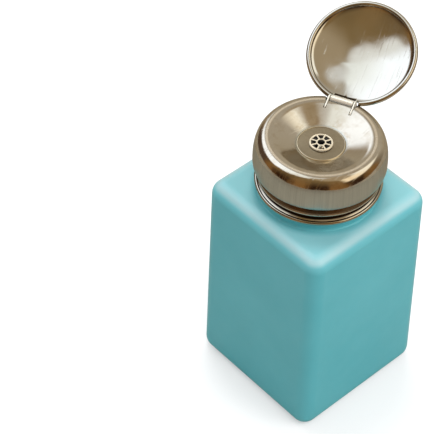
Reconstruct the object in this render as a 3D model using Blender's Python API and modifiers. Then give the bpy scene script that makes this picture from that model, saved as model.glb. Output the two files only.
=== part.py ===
"""Nail polish remover pump: a square plastic bottle with a press-down steel pump head and a hinged lid.

Metres, +Z up. The origin is the middle of the base, on the plane that the bottle stands on, and the
bottle's four sides face along X and Y. Pressing the head's dish down works a small piston pump, whose
dip tube draws from the bottle. The pump's collar screws on the bottle's neck, and the head stands at
HEADING to the bottle. It is modelled with the lid open on its stop and the head up.
"""

import math

import bmesh
import bpy
from mathutils import Matrix

# Fits between pieces
TOUCH_GAP = 0.0003  # between two pieces that touch
CUT_OVERRUN = 0.0010  # how far a cutter runs past what it cuts
MERGE = 0.00002  # points closer than this become one

# Bottle
SHOULDER_HEIGHT = 0.0864
BOTTLE_TOP_WIDTH = 0.0540
BOTTLE_BASE_WIDTH = 0.0562
BOTTLE_EDGE_RADIUS = 0.0053
BOTTLE_WALL = 0.0015
BASE_RECESS_DEPTH = 0.0012
BASE_RIM_WIDTH = 0.0036
BASE_RIB_WIDTH = 0.0042
NECK_RADIUS = 0.0175
NECK_WALL = 0.0020
NECK_HEIGHT = 0.0089
STEP_WIDTH = 0.0028  # of the step round the neck's foot
STEP_FLARE = 0.0010
STEP_FLARE_SINK = 0.0001  # of the flare's foot into the shoulder
THREAD_PITCH = 0.003175
THREAD_RIDGE_RADIUS = 0.0007
THREAD_STAND_OFF = 0.0002  # from the wall's face to the middle of the ridge
THREAD_TOP_MARGIN = 0.0001  # of the neck's ridge under the neck's top
THREAD_DROP = 0.0015  # of the insert's ridge under the neck's ridge
NECK_THREAD_TURNS = 1.0
INSERT_THREAD_FIRST_TURN = 0.5
INSERT_THREAD_TURNS = 0.85
GRADUATION_STEP_ML = 10
GRADUATION_TOP_ML = 200
GRADUATION_NUMBERED_ML = 50
GRADUATION_HEIGHT = 0.0003
GRADUATION_LINE = 0.0006
GRADUATION_SHORT = 0.0030
GRADUATION_LONG = 0.0070
CUBIC_METRES_PER_ML = 1.0e-6

# Screw collar: sheet steel on a threaded ring, with a rolled flange and a bead
COLLAR_HEIGHT = 0.0088
COLLAR_WALL = 0.0005
COLLAR_CORNER_RADIUS = 0.0010
FLANGE_PROJECTION = 0.0015
FLANGE_ROLL_RADIUS = 0.0007
BEAD_PROJECTION = 0.0007
BEAD_ROLL_RADIUS = 0.0008
BEAD_RISE = 0.0040  # of the bead's middle over the collar's lower edge
STEP_CLEARANCE = 0.0005
INSERT_WALL = 0.0008
THREAD_CLEARANCE = 0.0013  # between the neck's wall and the insert's

# Pump cylinder, gasket, guide and inlet valve
GASKET_THICKNESS = 0.0010
PUMP_FLANGE_THICKNESS = 0.0012
PUMP_FLANGE_CLEARANCE = 0.0006
CYLINDER_WALL = 0.0012
INLET_BALL_RADIUS = 0.0022
INLET_BALL_LIFT = 0.0008
INLET_BALL_CLEARANCE = 0.0007
INLET_SEAT_OVERLAP = 0.0007  # of the ball over the bore that it closes
INLET_SEAT_LAND = 0.0008
INLET_CAGE_THICKNESS = 0.0025
INLET_CAGE_OVERLAP = 0.0008  # of the ball over the cage's bore
DIP_TUBE_RADIUS = 0.0025
DIP_TUBE_WALL = 0.0007
DIP_SOCKET_WALL = 0.0016
DIP_SOCKET_DEPTH = 0.0052
DIP_TUBE_CLEARANCE = 0.0022  # from the tube's tip to the bottle's floor
DIP_TUBE_CUT_DEGREES = 35
GUIDE_FLANGE_OVERLAP = 0.0022  # over the cylinder's bore
GUIDE_FLANGE_THICKNESS = 0.0010
GUIDE_LENGTH = 0.0040  # along the stem
GUIDE_WALL = 0.0015  # round the well that takes the pressed hub

# Plunger
PRESS_STROKE = 0.0055
STEM_RADIUS = 0.0030
STEM_WALL = 0.0014
PISTON_HEIGHT = 0.0060
PISTON_SOCKET_DEPTH = 0.0040
SEAL_SECTION_RADIUS = 0.00075
WASHER_THICKNESS = 0.0008
WASHER_BORE_RADIUS = 0.0022
SPRING_WIRE_RADIUS = 0.0005
SPRING_LENGTH = 0.0170  # as fitted, with the head up
SPRING_CLEARANCE = 0.0016
SPRING_TURNS = 6
HUB_WALL = 0.0019
HUB_SOCKET_DEPTH = 0.0019
HUB_CLEARANCE = 0.0004  # of the pressed hub in the guide's well
OUTLET_BALL_RADIUS = 0.0015
OUTLET_BALL_LIFT = 0.0010
OUTLET_BALL_CLEARANCE = 0.0004
OUTLET_SEAT_OVERLAP = 0.0005  # of the ball over the bore that it closes
OUTLET_SEAT_LAND = 0.0006
SPIGOT_WALL = 0.0014
SPIGOT_RISE = 0.0001  # over the centre disc
SPIGOT_RIM = 0.0006  # round the well under the rosette
SPIGOT_WELL_DEPTH = 0.0010

# Head shell: drawn steel, a concave dish on top of a barrel-shaped skirt
SKIRT_CLEARANCE = 0.0012  # from the pressed skirt to the collar's flange
SKIRT_GAP = 0.0006  # from the skirt's lower edge to the collar's bead
SKIRT_WAIST_RISE = 0.0020  # from the lower edge to where the skirt is widest
SKIRT_TUCK = 0.0004  # how far the lower edge draws in
HEAD_HEIGHT = 0.0121
HEAD_WALL = 0.0006
SHOULDER_INSET = 0.0046  # of the dish's crest from the skirt
SHOULDER_POWER = 2.55  # two would make the shoulder an ellipse, and more is fuller
DISH_DEPTH = 0.00345
DISH_ROUNDING = 0.0023  # from where the dish's cone ends to the crest
DISC_SEAT_RADIUS = 0.0082
DISC_SEAT_DEPTH = 0.0006  # of the seat that takes the centre disc, under the dish's floor
DISC_SEAT_FLARE = 0.00015

# Centre of the dish
DISC_THICKNESS = 0.0004
DISC_RIDGE_HEIGHT = 0.0002
DISC_RIDGE_WIDTH = 0.0004
NOZZLE_RING_WALL = 0.0005
NOZZLE_RING_HEIGHT = 0.00045
ROSETTE_THICKNESS = 0.0004
ROSETTE_OVERLAP = 0.00025  # of the outlet ball over the rosette's hole
ROSETTE_LAND = 0.0005  # between the hole and the petals
ROSETTE_RIM = 0.00025
PETAL_COUNT = 8
PETAL_INNER_WIDTH = 0.00085
PETAL_OUTER_WIDTH = 0.0017

# Hinge and lid
HEADING_DEGREES = 24.5  # of the hinge, from +Y towards -X
HINGE_OUTSET = 0.0008  # of the pin outside the dish's crest
HINGE_UNDER_CREST = 0.0004
PIN_RADIUS = 0.0006
PIN_PROUD = 0.0001  # of each ear's outer face
BARREL_WALL = 0.0004
BARREL_LENGTH = 0.0079
EAR_THICKNESS = 0.0006
EAR_MARGIN = 0.0002  # of the ears round the barrel
EAR_REACH = 0.0047  # from the pin inwards
EAR_FOOT_WIDTH = 0.0030
NOTCH_END_CLEARANCE = 0.00035  # of both notches from the pin's ends
NOTCH_FLOOR_CLEARANCE = 0.0003
NOTCH_INNER_CLEARANCE = 0.0004
NOTCH_FLARE = 0.0011
LID_OPEN_DEGREES = 151.5
LID_OVERHANG = 0.00105  # of the lid's edge outside the dish's crest
LID_ROLL_RADIUS = 0.0009
LID_RISE = 0.0038  # of the dome's top over the middle of the rolled rim
LID_RIM_LEAN_DEGREES = 35  # of the rolled rim's start from straight up
LID_WALL = 0.0006
LID_LEAF_REACH = 0.0031  # from the pin inwards

# How finely the round shapes are made
WIDE_STEPS = 48
SMALL_STEPS = 24
ARC_POINTS = 6
EDGE_SEGMENTS = 5
RIDGE_POINTS_PER_TURN = 24
SPRING_POINTS_PER_TURN = 10

# Radii that follow, from the neck outwards
NECK_BORE_RADIUS = NECK_RADIUS - NECK_WALL
STEP_RADIUS = NECK_RADIUS + STEP_WIDTH
INSERT_BORE_RADIUS = NECK_RADIUS + THREAD_CLEARANCE
INSERT_RADIUS = INSERT_BORE_RADIUS + INSERT_WALL
COLLAR_BORE_RADIUS = INSERT_RADIUS + TOUCH_GAP
COLLAR_RADIUS = COLLAR_BORE_RADIUS + COLLAR_WALL
PUMP_FLANGE_RADIUS = COLLAR_BORE_RADIUS - PUMP_FLANGE_CLEARANCE
FLANGE_RADIUS = COLLAR_RADIUS + FLANGE_PROJECTION
BEAD_RADIUS = COLLAR_RADIUS + BEAD_PROJECTION
SKIRT_RADIUS = BEAD_RADIUS + SKIRT_GAP + HEAD_WALL + SKIRT_TUCK
CREST_RADIUS = SKIRT_RADIUS - SHOULDER_INSET
LID_RADIUS = CREST_RADIUS + LID_OVERHANG
HINGE_RADIUS = CREST_RADIUS + HINGE_OUTSET

# Radii that follow, from the stem and the valves outwards
STEM_BORE_RADIUS = STEM_RADIUS - STEM_WALL
STEM_FIT_RADIUS = STEM_RADIUS + TOUCH_GAP
HUB_RADIUS = STEM_FIT_RADIUS + HUB_WALL
GUIDE_WELL_RADIUS = HUB_RADIUS + HUB_CLEARANCE
PLUG_RADIUS = GUIDE_WELL_RADIUS + GUIDE_WALL  # of what fits in the cylinder
CYLINDER_BORE_RADIUS = PLUG_RADIUS + TOUCH_GAP
GUIDE_FLANGE_RADIUS = CYLINDER_BORE_RADIUS + GUIDE_FLANGE_OVERLAP
COLLAR_TOP_HOLE_RADIUS = GUIDE_FLANGE_RADIUS + TOUCH_GAP
SPRING_RADIUS = PLUG_RADIUS - SPRING_CLEARANCE - SPRING_WIRE_RADIUS
INLET_CHAMBER_RADIUS = INLET_BALL_RADIUS + INLET_BALL_CLEARANCE
INLET_BORE_RADIUS = INLET_BALL_RADIUS - INLET_SEAT_OVERLAP
INLET_CAGE_BORE_RADIUS = INLET_BALL_RADIUS - INLET_CAGE_OVERLAP
DIP_SOCKET_RADIUS = DIP_TUBE_RADIUS + TOUCH_GAP
NIPPLE_RADIUS = DIP_SOCKET_RADIUS + DIP_SOCKET_WALL
OUTLET_CHAMBER_RADIUS = OUTLET_BALL_RADIUS + OUTLET_BALL_CLEARANCE
OUTLET_BORE_RADIUS = OUTLET_BALL_RADIUS - OUTLET_SEAT_OVERLAP
SPIGOT_RADIUS = OUTLET_CHAMBER_RADIUS + SPIGOT_WALL
SHELL_HOLE_RADIUS = SPIGOT_RADIUS + TOUCH_GAP
NOZZLE_RING_RADIUS = SHELL_HOLE_RADIUS + NOZZLE_RING_WALL
SPIGOT_WELL_RADIUS = SPIGOT_RADIUS - SPIGOT_RIM
DISC_RADIUS = DISC_SEAT_RADIUS - TOUCH_GAP
DISH_FLOOR_RADIUS = DISC_SEAT_RADIUS + DISC_SEAT_FLARE
ROSETTE_HOLE_RADIUS = OUTLET_BALL_RADIUS - ROSETTE_OVERLAP
PETAL_INNER_RADIUS = ROSETTE_HOLE_RADIUS + ROSETTE_LAND
PETAL_OUTER_RADIUS = SPIGOT_RADIUS - ROSETTE_RIM

# The hinge's sizes that follow from the pin's
PIN_BORE_RADIUS = PIN_RADIUS + TOUCH_GAP
BARREL_RADIUS = PIN_BORE_RADIUS + BARREL_WALL
EAR_END_RADIUS = BARREL_RADIUS + EAR_MARGIN
EAR_INNER_FACE = BARREL_LENGTH / 2 + TOUCH_GAP
EAR_OUTER_FACE = EAR_INNER_FACE + EAR_THICKNESS
PIN_END = EAR_OUTER_FACE + PIN_PROUD
NOTCH_HALF_WIDTH = PIN_END + NOTCH_END_CLEARANCE
NOTCH_RUN_IN = EAR_END_RADIUS + NOTCH_INNER_CLEARANCE  # from the pin inwards

# Heights from the bottle up to the lid
FLOOR_HEIGHT = BASE_RECESS_DEPTH + BOTTLE_WALL
NECK_TOP = SHOULDER_HEIGHT + NECK_HEIGHT
THREAD_END = NECK_TOP - THREAD_TOP_MARGIN - THREAD_RIDGE_RADIUS
THREAD_START = THREAD_END - THREAD_PITCH * NECK_THREAD_TURNS
GASKET_BOTTOM = NECK_TOP + TOUCH_GAP
GASKET_TOP = GASKET_BOTTOM + GASKET_THICKNESS
PUMP_FLANGE_BOTTOM = GASKET_TOP + TOUCH_GAP
PUMP_FLANGE_TOP = PUMP_FLANGE_BOTTOM + PUMP_FLANGE_THICKNESS
COLLAR_TOP = PUMP_FLANGE_TOP + TOUCH_GAP + COLLAR_WALL
COLLAR_BOTTOM = COLLAR_TOP - COLLAR_HEIGHT
STEP_TOP = COLLAR_BOTTOM - STEP_CLEARANCE
FLANGE_TOP = COLLAR_BOTTOM + 2 * FLANGE_ROLL_RADIUS
HEAD_BOTTOM = FLANGE_TOP + SKIRT_CLEARANCE + PRESS_STROKE
CREST_HEIGHT = HEAD_BOTTOM + HEAD_HEIGHT
DISH_FLOOR = CREST_HEIGHT - DISH_DEPTH
DISC_SEAT = DISH_FLOOR - DISC_SEAT_DEPTH
DISC_BOTTOM = DISC_SEAT + TOUCH_GAP
DISC_TOP = DISC_BOTTOM + DISC_THICKNESS
SPIGOT_TOP = DISC_TOP + SPIGOT_RISE
ROSETTE_BOTTOM = SPIGOT_TOP + TOUCH_GAP
HINGE_HEIGHT = CREST_HEIGHT - HINGE_UNDER_CREST
NOTCH_FLOOR = HINGE_HEIGHT - EAR_END_RADIUS - NOTCH_FLOOR_CLEARANCE
RIM_HEIGHT = CREST_HEIGHT + TOUCH_GAP + LID_ROLL_RADIUS  # of the closed lid's rolled rim


def seat_height(ball_height, ball_radius, bore_radius):
    """Where a 45 degree cone round a bore starts, so that a ball with its middle at a height rests on it."""
    return ball_height + bore_radius - (ball_radius + TOUCH_GAP) * math.sqrt(2)


# Heights from the dish down to the dip tube
HUB_TOP = DISC_SEAT - HEAD_WALL - TOUCH_GAP
OUTLET_BALL_HEIGHT = ROSETTE_BOTTOM - TOUCH_GAP - OUTLET_BALL_LIFT - OUTLET_BALL_RADIUS
OUTLET_SEAT = seat_height(OUTLET_BALL_HEIGHT, OUTLET_BALL_RADIUS, OUTLET_BORE_RADIUS)
HUB_SOCKET_TOP = OUTLET_SEAT - OUTLET_SEAT_LAND
HUB_BOTTOM = HUB_SOCKET_TOP - HUB_SOCKET_DEPTH
STEM_TOP = HUB_SOCKET_TOP - TOUCH_GAP
GUIDE_FLANGE_BOTTOM = PUMP_FLANGE_TOP + TOUCH_GAP
GUIDE_TOP = GUIDE_FLANGE_BOTTOM + GUIDE_FLANGE_THICKNESS
GUIDE_WELL_FLOOR = HUB_BOTTOM - PRESS_STROKE - HUB_CLEARANCE
GUIDE_BOTTOM = GUIDE_WELL_FLOOR - GUIDE_LENGTH
PISTON_TOP = GUIDE_BOTTOM - TOUCH_GAP
PISTON_BOTTOM = PISTON_TOP - PISTON_HEIGHT
STEM_BOTTOM = PISTON_TOP - PISTON_SOCKET_DEPTH + TOUCH_GAP
SPRING_TOP = PISTON_BOTTOM - TOUCH_GAP
SPRING_BOTTOM = SPRING_TOP - SPRING_LENGTH
WASHER_TOP = SPRING_BOTTOM - TOUCH_GAP
WASHER_BOTTOM = WASHER_TOP - WASHER_THICKNESS
CYLINDER_FLOOR = WASHER_BOTTOM - TOUCH_GAP
CYLINDER_BOTTOM = CYLINDER_FLOOR - CYLINDER_WALL
INLET_CAGE_BOTTOM = CYLINDER_FLOOR - INLET_CAGE_THICKNESS
INLET_BALL_HEIGHT = INLET_CAGE_BOTTOM - TOUCH_GAP - INLET_BALL_LIFT - INLET_BALL_RADIUS
INLET_SEAT = seat_height(INLET_BALL_HEIGHT, INLET_BALL_RADIUS, INLET_BORE_RADIUS)
DIP_SOCKET_TOP = INLET_SEAT - INLET_SEAT_LAND
NIPPLE_BOTTOM = DIP_SOCKET_TOP - DIP_SOCKET_DEPTH


def clear_scene():
    for obj in list(bpy.data.objects):
        bpy.data.objects.remove(obj)


def new_collection(name):
    collection = bpy.data.collections.new(name)
    bpy.context.scene.collection.children.link(collection)
    return collection


def new_material(name, colour, roughness, metallic=0.0):
    material = bpy.data.materials.new(name)
    material.use_nodes = True
    shader = material.node_tree.nodes["Principled BSDF"]
    shader.inputs["Base Color"].default_value = (*colour, 1.0)
    shader.inputs["Roughness"].default_value = roughness
    shader.inputs["Metallic"].default_value = metallic
    material.diffuse_color = (*colour, 1.0)
    return material


def new_object(name, data, material=None, parent=None):
    """An object of the part, or a cutter or addition to one where it has no material."""
    obj = bpy.data.objects.new(name, data)
    if material:
        PARTS.objects.link(obj)
        data.materials.append(material)
    else:
        CUTTERS.objects.link(obj)
        obj.hide_render = True
        obj.display_type = "WIRE"
    obj.parent = parent
    return obj


def arc(centre, radius, start_degrees, end_degrees, count=ARC_POINTS):
    """Points on a circle's arc, both ends included. Angles are anticlockwise from the first axis."""
    points = []
    for i in range(count):
        angle = math.radians(start_degrees + (end_degrees - start_degrees) * i / (count - 1))
        points.append((centre[0] + radius * math.cos(angle), centre[1] + radius * math.sin(angle)))
    return points


def turned(name, outline, material=None, steps=SMALL_STEPS, closed=True, wall=0.0, parent=None):
    """Turns an outline of (radius, height) points, listed down its outer side, about the Z axis.

    An outline that ends on the axis isn't closed. One with a wall is a sheet, thickened inwards.
    """
    mesh = bpy.data.meshes.new(name)
    edges = [(i, i + 1) for i in range(len(outline) - 1)]
    if closed:
        edges.append((len(outline) - 1, 0))
    mesh.from_pydata([(radius, 0, height) for radius, height in outline], edges, [])
    obj = new_object(name, mesh, material, parent)
    screw = obj.modifiers.new("turn", "SCREW")
    screw.steps = screw.render_steps = steps
    screw.use_merge_vertices = True
    screw.merge_threshold = MERGE
    screw.use_smooth_shade = False
    if wall:
        sheet = obj.modifiers.new("wall", "SOLIDIFY")
        sheet.thickness = wall
        sheet.offset = -1
        sheet.use_even_offset = True
    return obj


def as_mesh(obj, material=None):
    """The object's evaluated shape as a plain mesh object of the same name, with its ends welded."""
    bpy.context.view_layer.update()
    evaluated = obj.evaluated_get(bpy.context.evaluated_depsgraph_get())
    name, matrix, parent = obj.name, obj.matrix_world.copy(), obj.parent
    mesh = bpy.data.meshes.new_from_object(evaluated)
    bpy.data.objects.remove(obj)
    shape = bmesh.new()
    shape.from_mesh(mesh)
    bmesh.ops.remove_doubles(shape, verts=shape.verts, dist=MERGE)
    bmesh.ops.recalc_face_normals(shape, faces=shape.faces)
    shape.to_mesh(mesh)
    shape.free()
    mesh.materials.clear()
    result = new_object(name, mesh, material, parent)
    result.matrix_world = matrix
    return result


def plate(name, outline, thickness, material=None, parent=None):
    """A flat plate with this outline in its own X and Y, half of its thickness on each side."""
    curve = bpy.data.curves.new(name, "CURVE")
    curve.dimensions = "2D"
    curve.fill_mode = "BOTH"
    curve.extrude = thickness / 2
    spline = curve.splines.new("POLY")
    spline.points.add(len(outline) - 1)
    for point, (x, y) in zip(spline.points, outline):
        point.co = (x, y, 0, 1)
    spline.use_cyclic_u = True
    return as_mesh(new_object(name, curve, None, parent), material)


def wire(name, points, radius, material=None, parent=None):
    """A round wire through the points, with filled ends."""
    curve = bpy.data.curves.new(name, "CURVE")
    curve.dimensions = "3D"
    curve.bevel_depth = radius
    curve.bevel_resolution = 2
    curve.use_fill_caps = True
    spline = curve.splines.new("POLY")
    spline.points.add(len(points) - 1)
    for point, place in zip(spline.points, points):
        point.co = (*place, 1)
    return as_mesh(new_object(name, curve, None, parent), material)


def box(name, low, high, material=None, parent=None):
    """A box between two corners, as a mesh whose origin stays at its parent's."""
    mesh = bpy.data.meshes.new(name)
    shape = bmesh.new()
    bmesh.ops.create_cube(shape, size=1)
    size = [b - a for a, b in zip(low, high)]
    middle = [(a + b) / 2 for a, b in zip(low, high)]
    bmesh.ops.transform(shape, matrix=Matrix.Translation(middle) @ Matrix.Diagonal((*size, 1)),
                        verts=shape.verts)
    shape.to_mesh(mesh)
    shape.free()
    return new_object(name, mesh, material, parent)


def tapered_block(name, base_width, top_width, low, high, radius, material=None):
    """A square block, wider at its base, with every edge rounded."""
    obj = box(name, (-base_width / 2, -base_width / 2, low), (base_width / 2, base_width / 2, high),
              material)
    for vertex in obj.data.vertices:
        if vertex.co.z > (low + high) / 2:
            vertex.co.x *= top_width / base_width
            vertex.co.y *= top_width / base_width
    rounding = obj.modifiers.new("edges", "BEVEL")
    rounding.width = radius
    rounding.segments = EDGE_SEGMENTS
    return obj


def combine(obj, other, operation):
    change = obj.modifiers.new(other.name, "BOOLEAN")
    change.operation = operation
    change.object = other
    change.solver = "EXACT"


def cut(obj, *cutters):
    for cutter in cutters:
        combine(obj, cutter, "DIFFERENCE")


def join(obj, *additions):
    for addition in additions:
        combine(obj, addition, "UNION")


def ball(name, radius, height, material, parent=None):
    mesh = bpy.data.meshes.new(name)
    shape = bmesh.new()
    bmesh.ops.create_uvsphere(shape, u_segments=SMALL_STEPS // 2, v_segments=SMALL_STEPS // 3,
                              radius=radius)
    shape.to_mesh(mesh)
    shape.free()
    mesh.shade_smooth()
    obj = new_object(name, mesh, material, parent)
    obj.location.z = height
    return obj


def thread_ridge(name, radius, start, first_turn, turns):
    """A right-handed ridge round a wall, from its first turn on: at turn zero its height is start."""
    count = round(turns * RIDGE_POINTS_PER_TURN)
    points = []
    for i in range(count + 1):
        turn = first_turn + turns * i / count
        angle = 2 * math.pi * turn
        points.append((radius * math.cos(angle), radius * math.sin(angle), start + THREAD_PITCH * turn))
    return wire(name, points, THREAD_RIDGE_RADIUS)


def inner_width(height):
    """Between the bottle's inner faces at a height."""
    taper = (BOTTLE_BASE_WIDTH - BOTTLE_TOP_WIDTH) / SHOULDER_HEIGHT
    return BOTTLE_BASE_WIDTH - taper * height - 2 * BOTTLE_WALL


def graduation_height(millilitres):
    """How high this much liquid stands in the bottle, its taper taken at half the fill."""
    volume = millilitres * CUBIC_METRES_PER_ML
    depth = volume / inner_width(FLOOR_HEIGHT) ** 2
    return FLOOR_HEIGHT + volume / inner_width(FLOOR_HEIGHT + depth / 2) ** 2


def graduations():
    """A fine moulded scale up the middle of the bottle's +Y side, every mark joined by one line."""
    half = GRADUATION_LINE / 2
    outline = []
    for mark in range(GRADUATION_STEP_ML, GRADUATION_TOP_ML + 1, GRADUATION_STEP_ML):
        height = graduation_height(mark)
        length = GRADUATION_LONG if mark % GRADUATION_NUMBERED_ML == 0 else GRADUATION_SHORT
        outline += [(-half, height - half), (-half - length, height - half),
                    (-half - length, height + half), (-half, height + half)]
    outline = outline[1:-1] + [(half, outline[-1][1]), (half, outline[0][1])]
    scale = plate("graduations", outline, BOTTLE_WALL / 2 + GRADUATION_HEIGHT)
    lean = math.atan2((BOTTLE_BASE_WIDTH - BOTTLE_TOP_WIDTH) / 2, SHOULDER_HEIGHT)
    proud = (GRADUATION_HEIGHT - BOTTLE_WALL / 2) / 2
    scale.location = (0, BOTTLE_BASE_WIDTH / 2 + proud, 0)
    scale.rotation_euler.x = math.pi / 2 + lean
    return scale


def base_recesses():
    """Two shallow triangles under the base, on either side of a rib from corner to corner."""
    reach = BOTTLE_BASE_WIDTH / 2 - BOTTLE_EDGE_RADIUS - BASE_RIM_WIDTH
    inset = BASE_RIB_WIDTH / math.sqrt(2)
    cutters = []
    for side in (1, -1):
        outline = [(side * reach, side * (inset - reach)), (side * reach, side * reach),
                   (side * (inset - reach), side * reach)]
        cutter = plate("base_recess", outline, 2 * BASE_RECESS_DEPTH)
        cutters.append(cutter)
    return cutters


def make_bottle(material):
    bottle = tapered_block("bottle", BOTTLE_BASE_WIDTH, BOTTLE_TOP_WIDTH, 0, SHOULDER_HEIGHT,
                           BOTTLE_EDGE_RADIUS, material)
    root = SHOULDER_HEIGHT - BOTTLE_WALL / 2
    flare = (STEP_RADIUS + STEP_FLARE, SHOULDER_HEIGHT + STEP_FLARE - STEP_FLARE_SINK)
    neck = turned("neck", [
        (0, NECK_TOP),
        (NECK_RADIUS, NECK_TOP),
        (NECK_RADIUS, STEP_TOP),
        (STEP_RADIUS, STEP_TOP),
        *arc(flare, STEP_FLARE, 180, 270, 4),
        (flare[0], root),
        (0, root),
    ], steps=WIDE_STEPS, closed=False)
    ridge = thread_ridge("neck_thread", NECK_RADIUS + THREAD_STAND_OFF, THREAD_START, 0, NECK_THREAD_TURNS)
    inside = tapered_block("bottle_inside", inner_width(FLOOR_HEIGHT),
                           inner_width(SHOULDER_HEIGHT - BOTTLE_WALL), FLOOR_HEIGHT,
                           SHOULDER_HEIGHT - BOTTLE_WALL, BOTTLE_EDGE_RADIUS - BOTTLE_WALL)
    bore = turned("neck_bore", [
        (0, NECK_TOP + CUT_OVERRUN),
        (NECK_BORE_RADIUS, NECK_TOP + CUT_OVERRUN),
        (NECK_BORE_RADIUS, SHOULDER_HEIGHT - BOTTLE_WALL - CUT_OVERRUN),
        (0, SHOULDER_HEIGHT - BOTTLE_WALL - CUT_OVERRUN),
    ], steps=WIDE_STEPS, closed=False)
    join(bottle, neck, ridge)
    cut(bottle, inside, bore, *base_recesses())
    join(bottle, graduations())
    return bottle


def make_collar(steel, plastic):
    """The steel screw collar, and the threaded plastic ring that it is crimped on."""
    corner = (COLLAR_RADIUS - COLLAR_CORNER_RADIUS, COLLAR_TOP - COLLAR_CORNER_RADIUS)
    bead = (BEAD_RADIUS - BEAD_ROLL_RADIUS, COLLAR_BOTTOM + BEAD_RISE)
    flange = (FLANGE_RADIUS - FLANGE_ROLL_RADIUS, COLLAR_BOTTOM + FLANGE_ROLL_RADIUS)
    groove = COLLAR_RADIUS - COLLAR_WALL / 4
    turned("collar", [
        (COLLAR_TOP_HOLE_RADIUS, COLLAR_TOP),
        *arc(corner, COLLAR_CORNER_RADIUS, 90, 0, 4),
        (COLLAR_RADIUS, bead[1] + 1.4 * BEAD_ROLL_RADIUS),
        *arc(bead, BEAD_ROLL_RADIUS, 75, -75, 6),
        (groove, bead[1] - 1.4 * BEAD_ROLL_RADIUS),
        (groove, flange[1] + 1.3 * FLANGE_ROLL_RADIUS),
        *arc(flange, FLANGE_ROLL_RADIUS, 90, -90, 7),
        (COLLAR_BORE_RADIUS, COLLAR_BOTTOM),
        (COLLAR_BORE_RADIUS, COLLAR_TOP - COLLAR_WALL),
        (COLLAR_TOP_HOLE_RADIUS, COLLAR_TOP - COLLAR_WALL),
    ], steel, WIDE_STEPS)
    insert = turned("thread_insert", [
        (INSERT_BORE_RADIUS, PUMP_FLANGE_BOTTOM - TOUCH_GAP),
        (INSERT_RADIUS, PUMP_FLANGE_BOTTOM - TOUCH_GAP),
        (INSERT_RADIUS, COLLAR_BOTTOM + TOUCH_GAP),
        (INSERT_BORE_RADIUS, COLLAR_BOTTOM + TOUCH_GAP),
    ], plastic, WIDE_STEPS)
    join(insert, thread_ridge("insert_thread", INSERT_BORE_RADIUS - THREAD_STAND_OFF,
                              THREAD_START - THREAD_DROP, INSERT_THREAD_FIRST_TURN, INSERT_THREAD_TURNS))


def make_gasket(rubber):
    turned("sealing_gasket", [
        (NECK_BORE_RADIUS, GASKET_TOP),
        (INSERT_BORE_RADIUS - TOUCH_GAP, GASKET_TOP),
        (INSERT_BORE_RADIUS - TOUCH_GAP, GASKET_BOTTOM),
        (NECK_BORE_RADIUS, GASKET_BOTTOM),
    ], rubber, WIDE_STEPS)


def make_cylinder(plastic):
    """The pump's body: a flange on the neck, the piston's bore, the inlet valve and the dip tube's socket."""
    outer = CYLINDER_BORE_RADIUS + CYLINDER_WALL
    turned("pump_cylinder", [
        (CYLINDER_BORE_RADIUS, PUMP_FLANGE_TOP),
        (PUMP_FLANGE_RADIUS, PUMP_FLANGE_TOP),
        (PUMP_FLANGE_RADIUS, PUMP_FLANGE_BOTTOM),
        (outer, PUMP_FLANGE_BOTTOM),
        (outer, CYLINDER_BOTTOM + CYLINDER_WALL),
        (outer - CYLINDER_WALL, CYLINDER_BOTTOM),
        (NIPPLE_RADIUS, CYLINDER_BOTTOM - CYLINDER_WALL),
        (NIPPLE_RADIUS, NIPPLE_BOTTOM),
        (DIP_SOCKET_RADIUS, NIPPLE_BOTTOM),
        (DIP_SOCKET_RADIUS, DIP_SOCKET_TOP),
        (INLET_BORE_RADIUS, DIP_SOCKET_TOP),
        (INLET_BORE_RADIUS, INLET_SEAT),
        (INLET_CHAMBER_RADIUS, INLET_SEAT + INLET_CHAMBER_RADIUS - INLET_BORE_RADIUS),
        (INLET_CHAMBER_RADIUS, CYLINDER_FLOOR),
        (CYLINDER_BORE_RADIUS, CYLINDER_FLOOR),
    ], plastic)


def make_dip_tube(plastic):
    bottom = FLOOR_HEIGHT + DIP_TUBE_CLEARANCE
    bore = DIP_TUBE_RADIUS - DIP_TUBE_WALL
    tube = turned("dip_tube", [
        (bore, DIP_SOCKET_TOP - TOUCH_GAP),
        (DIP_TUBE_RADIUS, DIP_SOCKET_TOP - TOUCH_GAP),
        (DIP_TUBE_RADIUS, bottom),
        (bore, bottom),
    ], plastic)
    reach = 4 * DIP_TUBE_RADIUS
    tip_cut = box("dip_tube_cut", (-reach, -reach, -reach), (reach, reach, 0))
    tip_cut.location.z = bottom + DIP_TUBE_RADIUS * math.tan(math.radians(DIP_TUBE_CUT_DEGREES))
    tip_cut.rotation_euler.y = math.radians(DIP_TUBE_CUT_DEGREES)
    cut(tube, tip_cut)


def make_inlet_valve(plastic, steel):
    turned("inlet_cage", [
        (INLET_CAGE_BORE_RADIUS, CYLINDER_FLOOR),
        (INLET_CHAMBER_RADIUS - TOUCH_GAP, CYLINDER_FLOOR),
        (INLET_CHAMBER_RADIUS - TOUCH_GAP, INLET_CAGE_BOTTOM),
        (INLET_CAGE_BORE_RADIUS, INLET_CAGE_BOTTOM),
    ], plastic)
    ball("inlet_ball", INLET_BALL_RADIUS, INLET_BALL_HEIGHT, steel)


def make_guide(plastic):
    """The bush that closes the cylinder and guides the stem. Its well takes the hub when it is pressed."""
    turned("guide_bush", [
        (GUIDE_WELL_RADIUS, GUIDE_TOP),
        (GUIDE_FLANGE_RADIUS, GUIDE_TOP),
        (GUIDE_FLANGE_RADIUS, GUIDE_FLANGE_BOTTOM),
        (PLUG_RADIUS, GUIDE_FLANGE_BOTTOM),
        (PLUG_RADIUS, GUIDE_BOTTOM),
        (STEM_FIT_RADIUS, GUIDE_BOTTOM),
        (STEM_FIT_RADIUS, GUIDE_WELL_FLOOR),
        (GUIDE_WELL_RADIUS, GUIDE_WELL_FLOOR),
    ], plastic)


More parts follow.
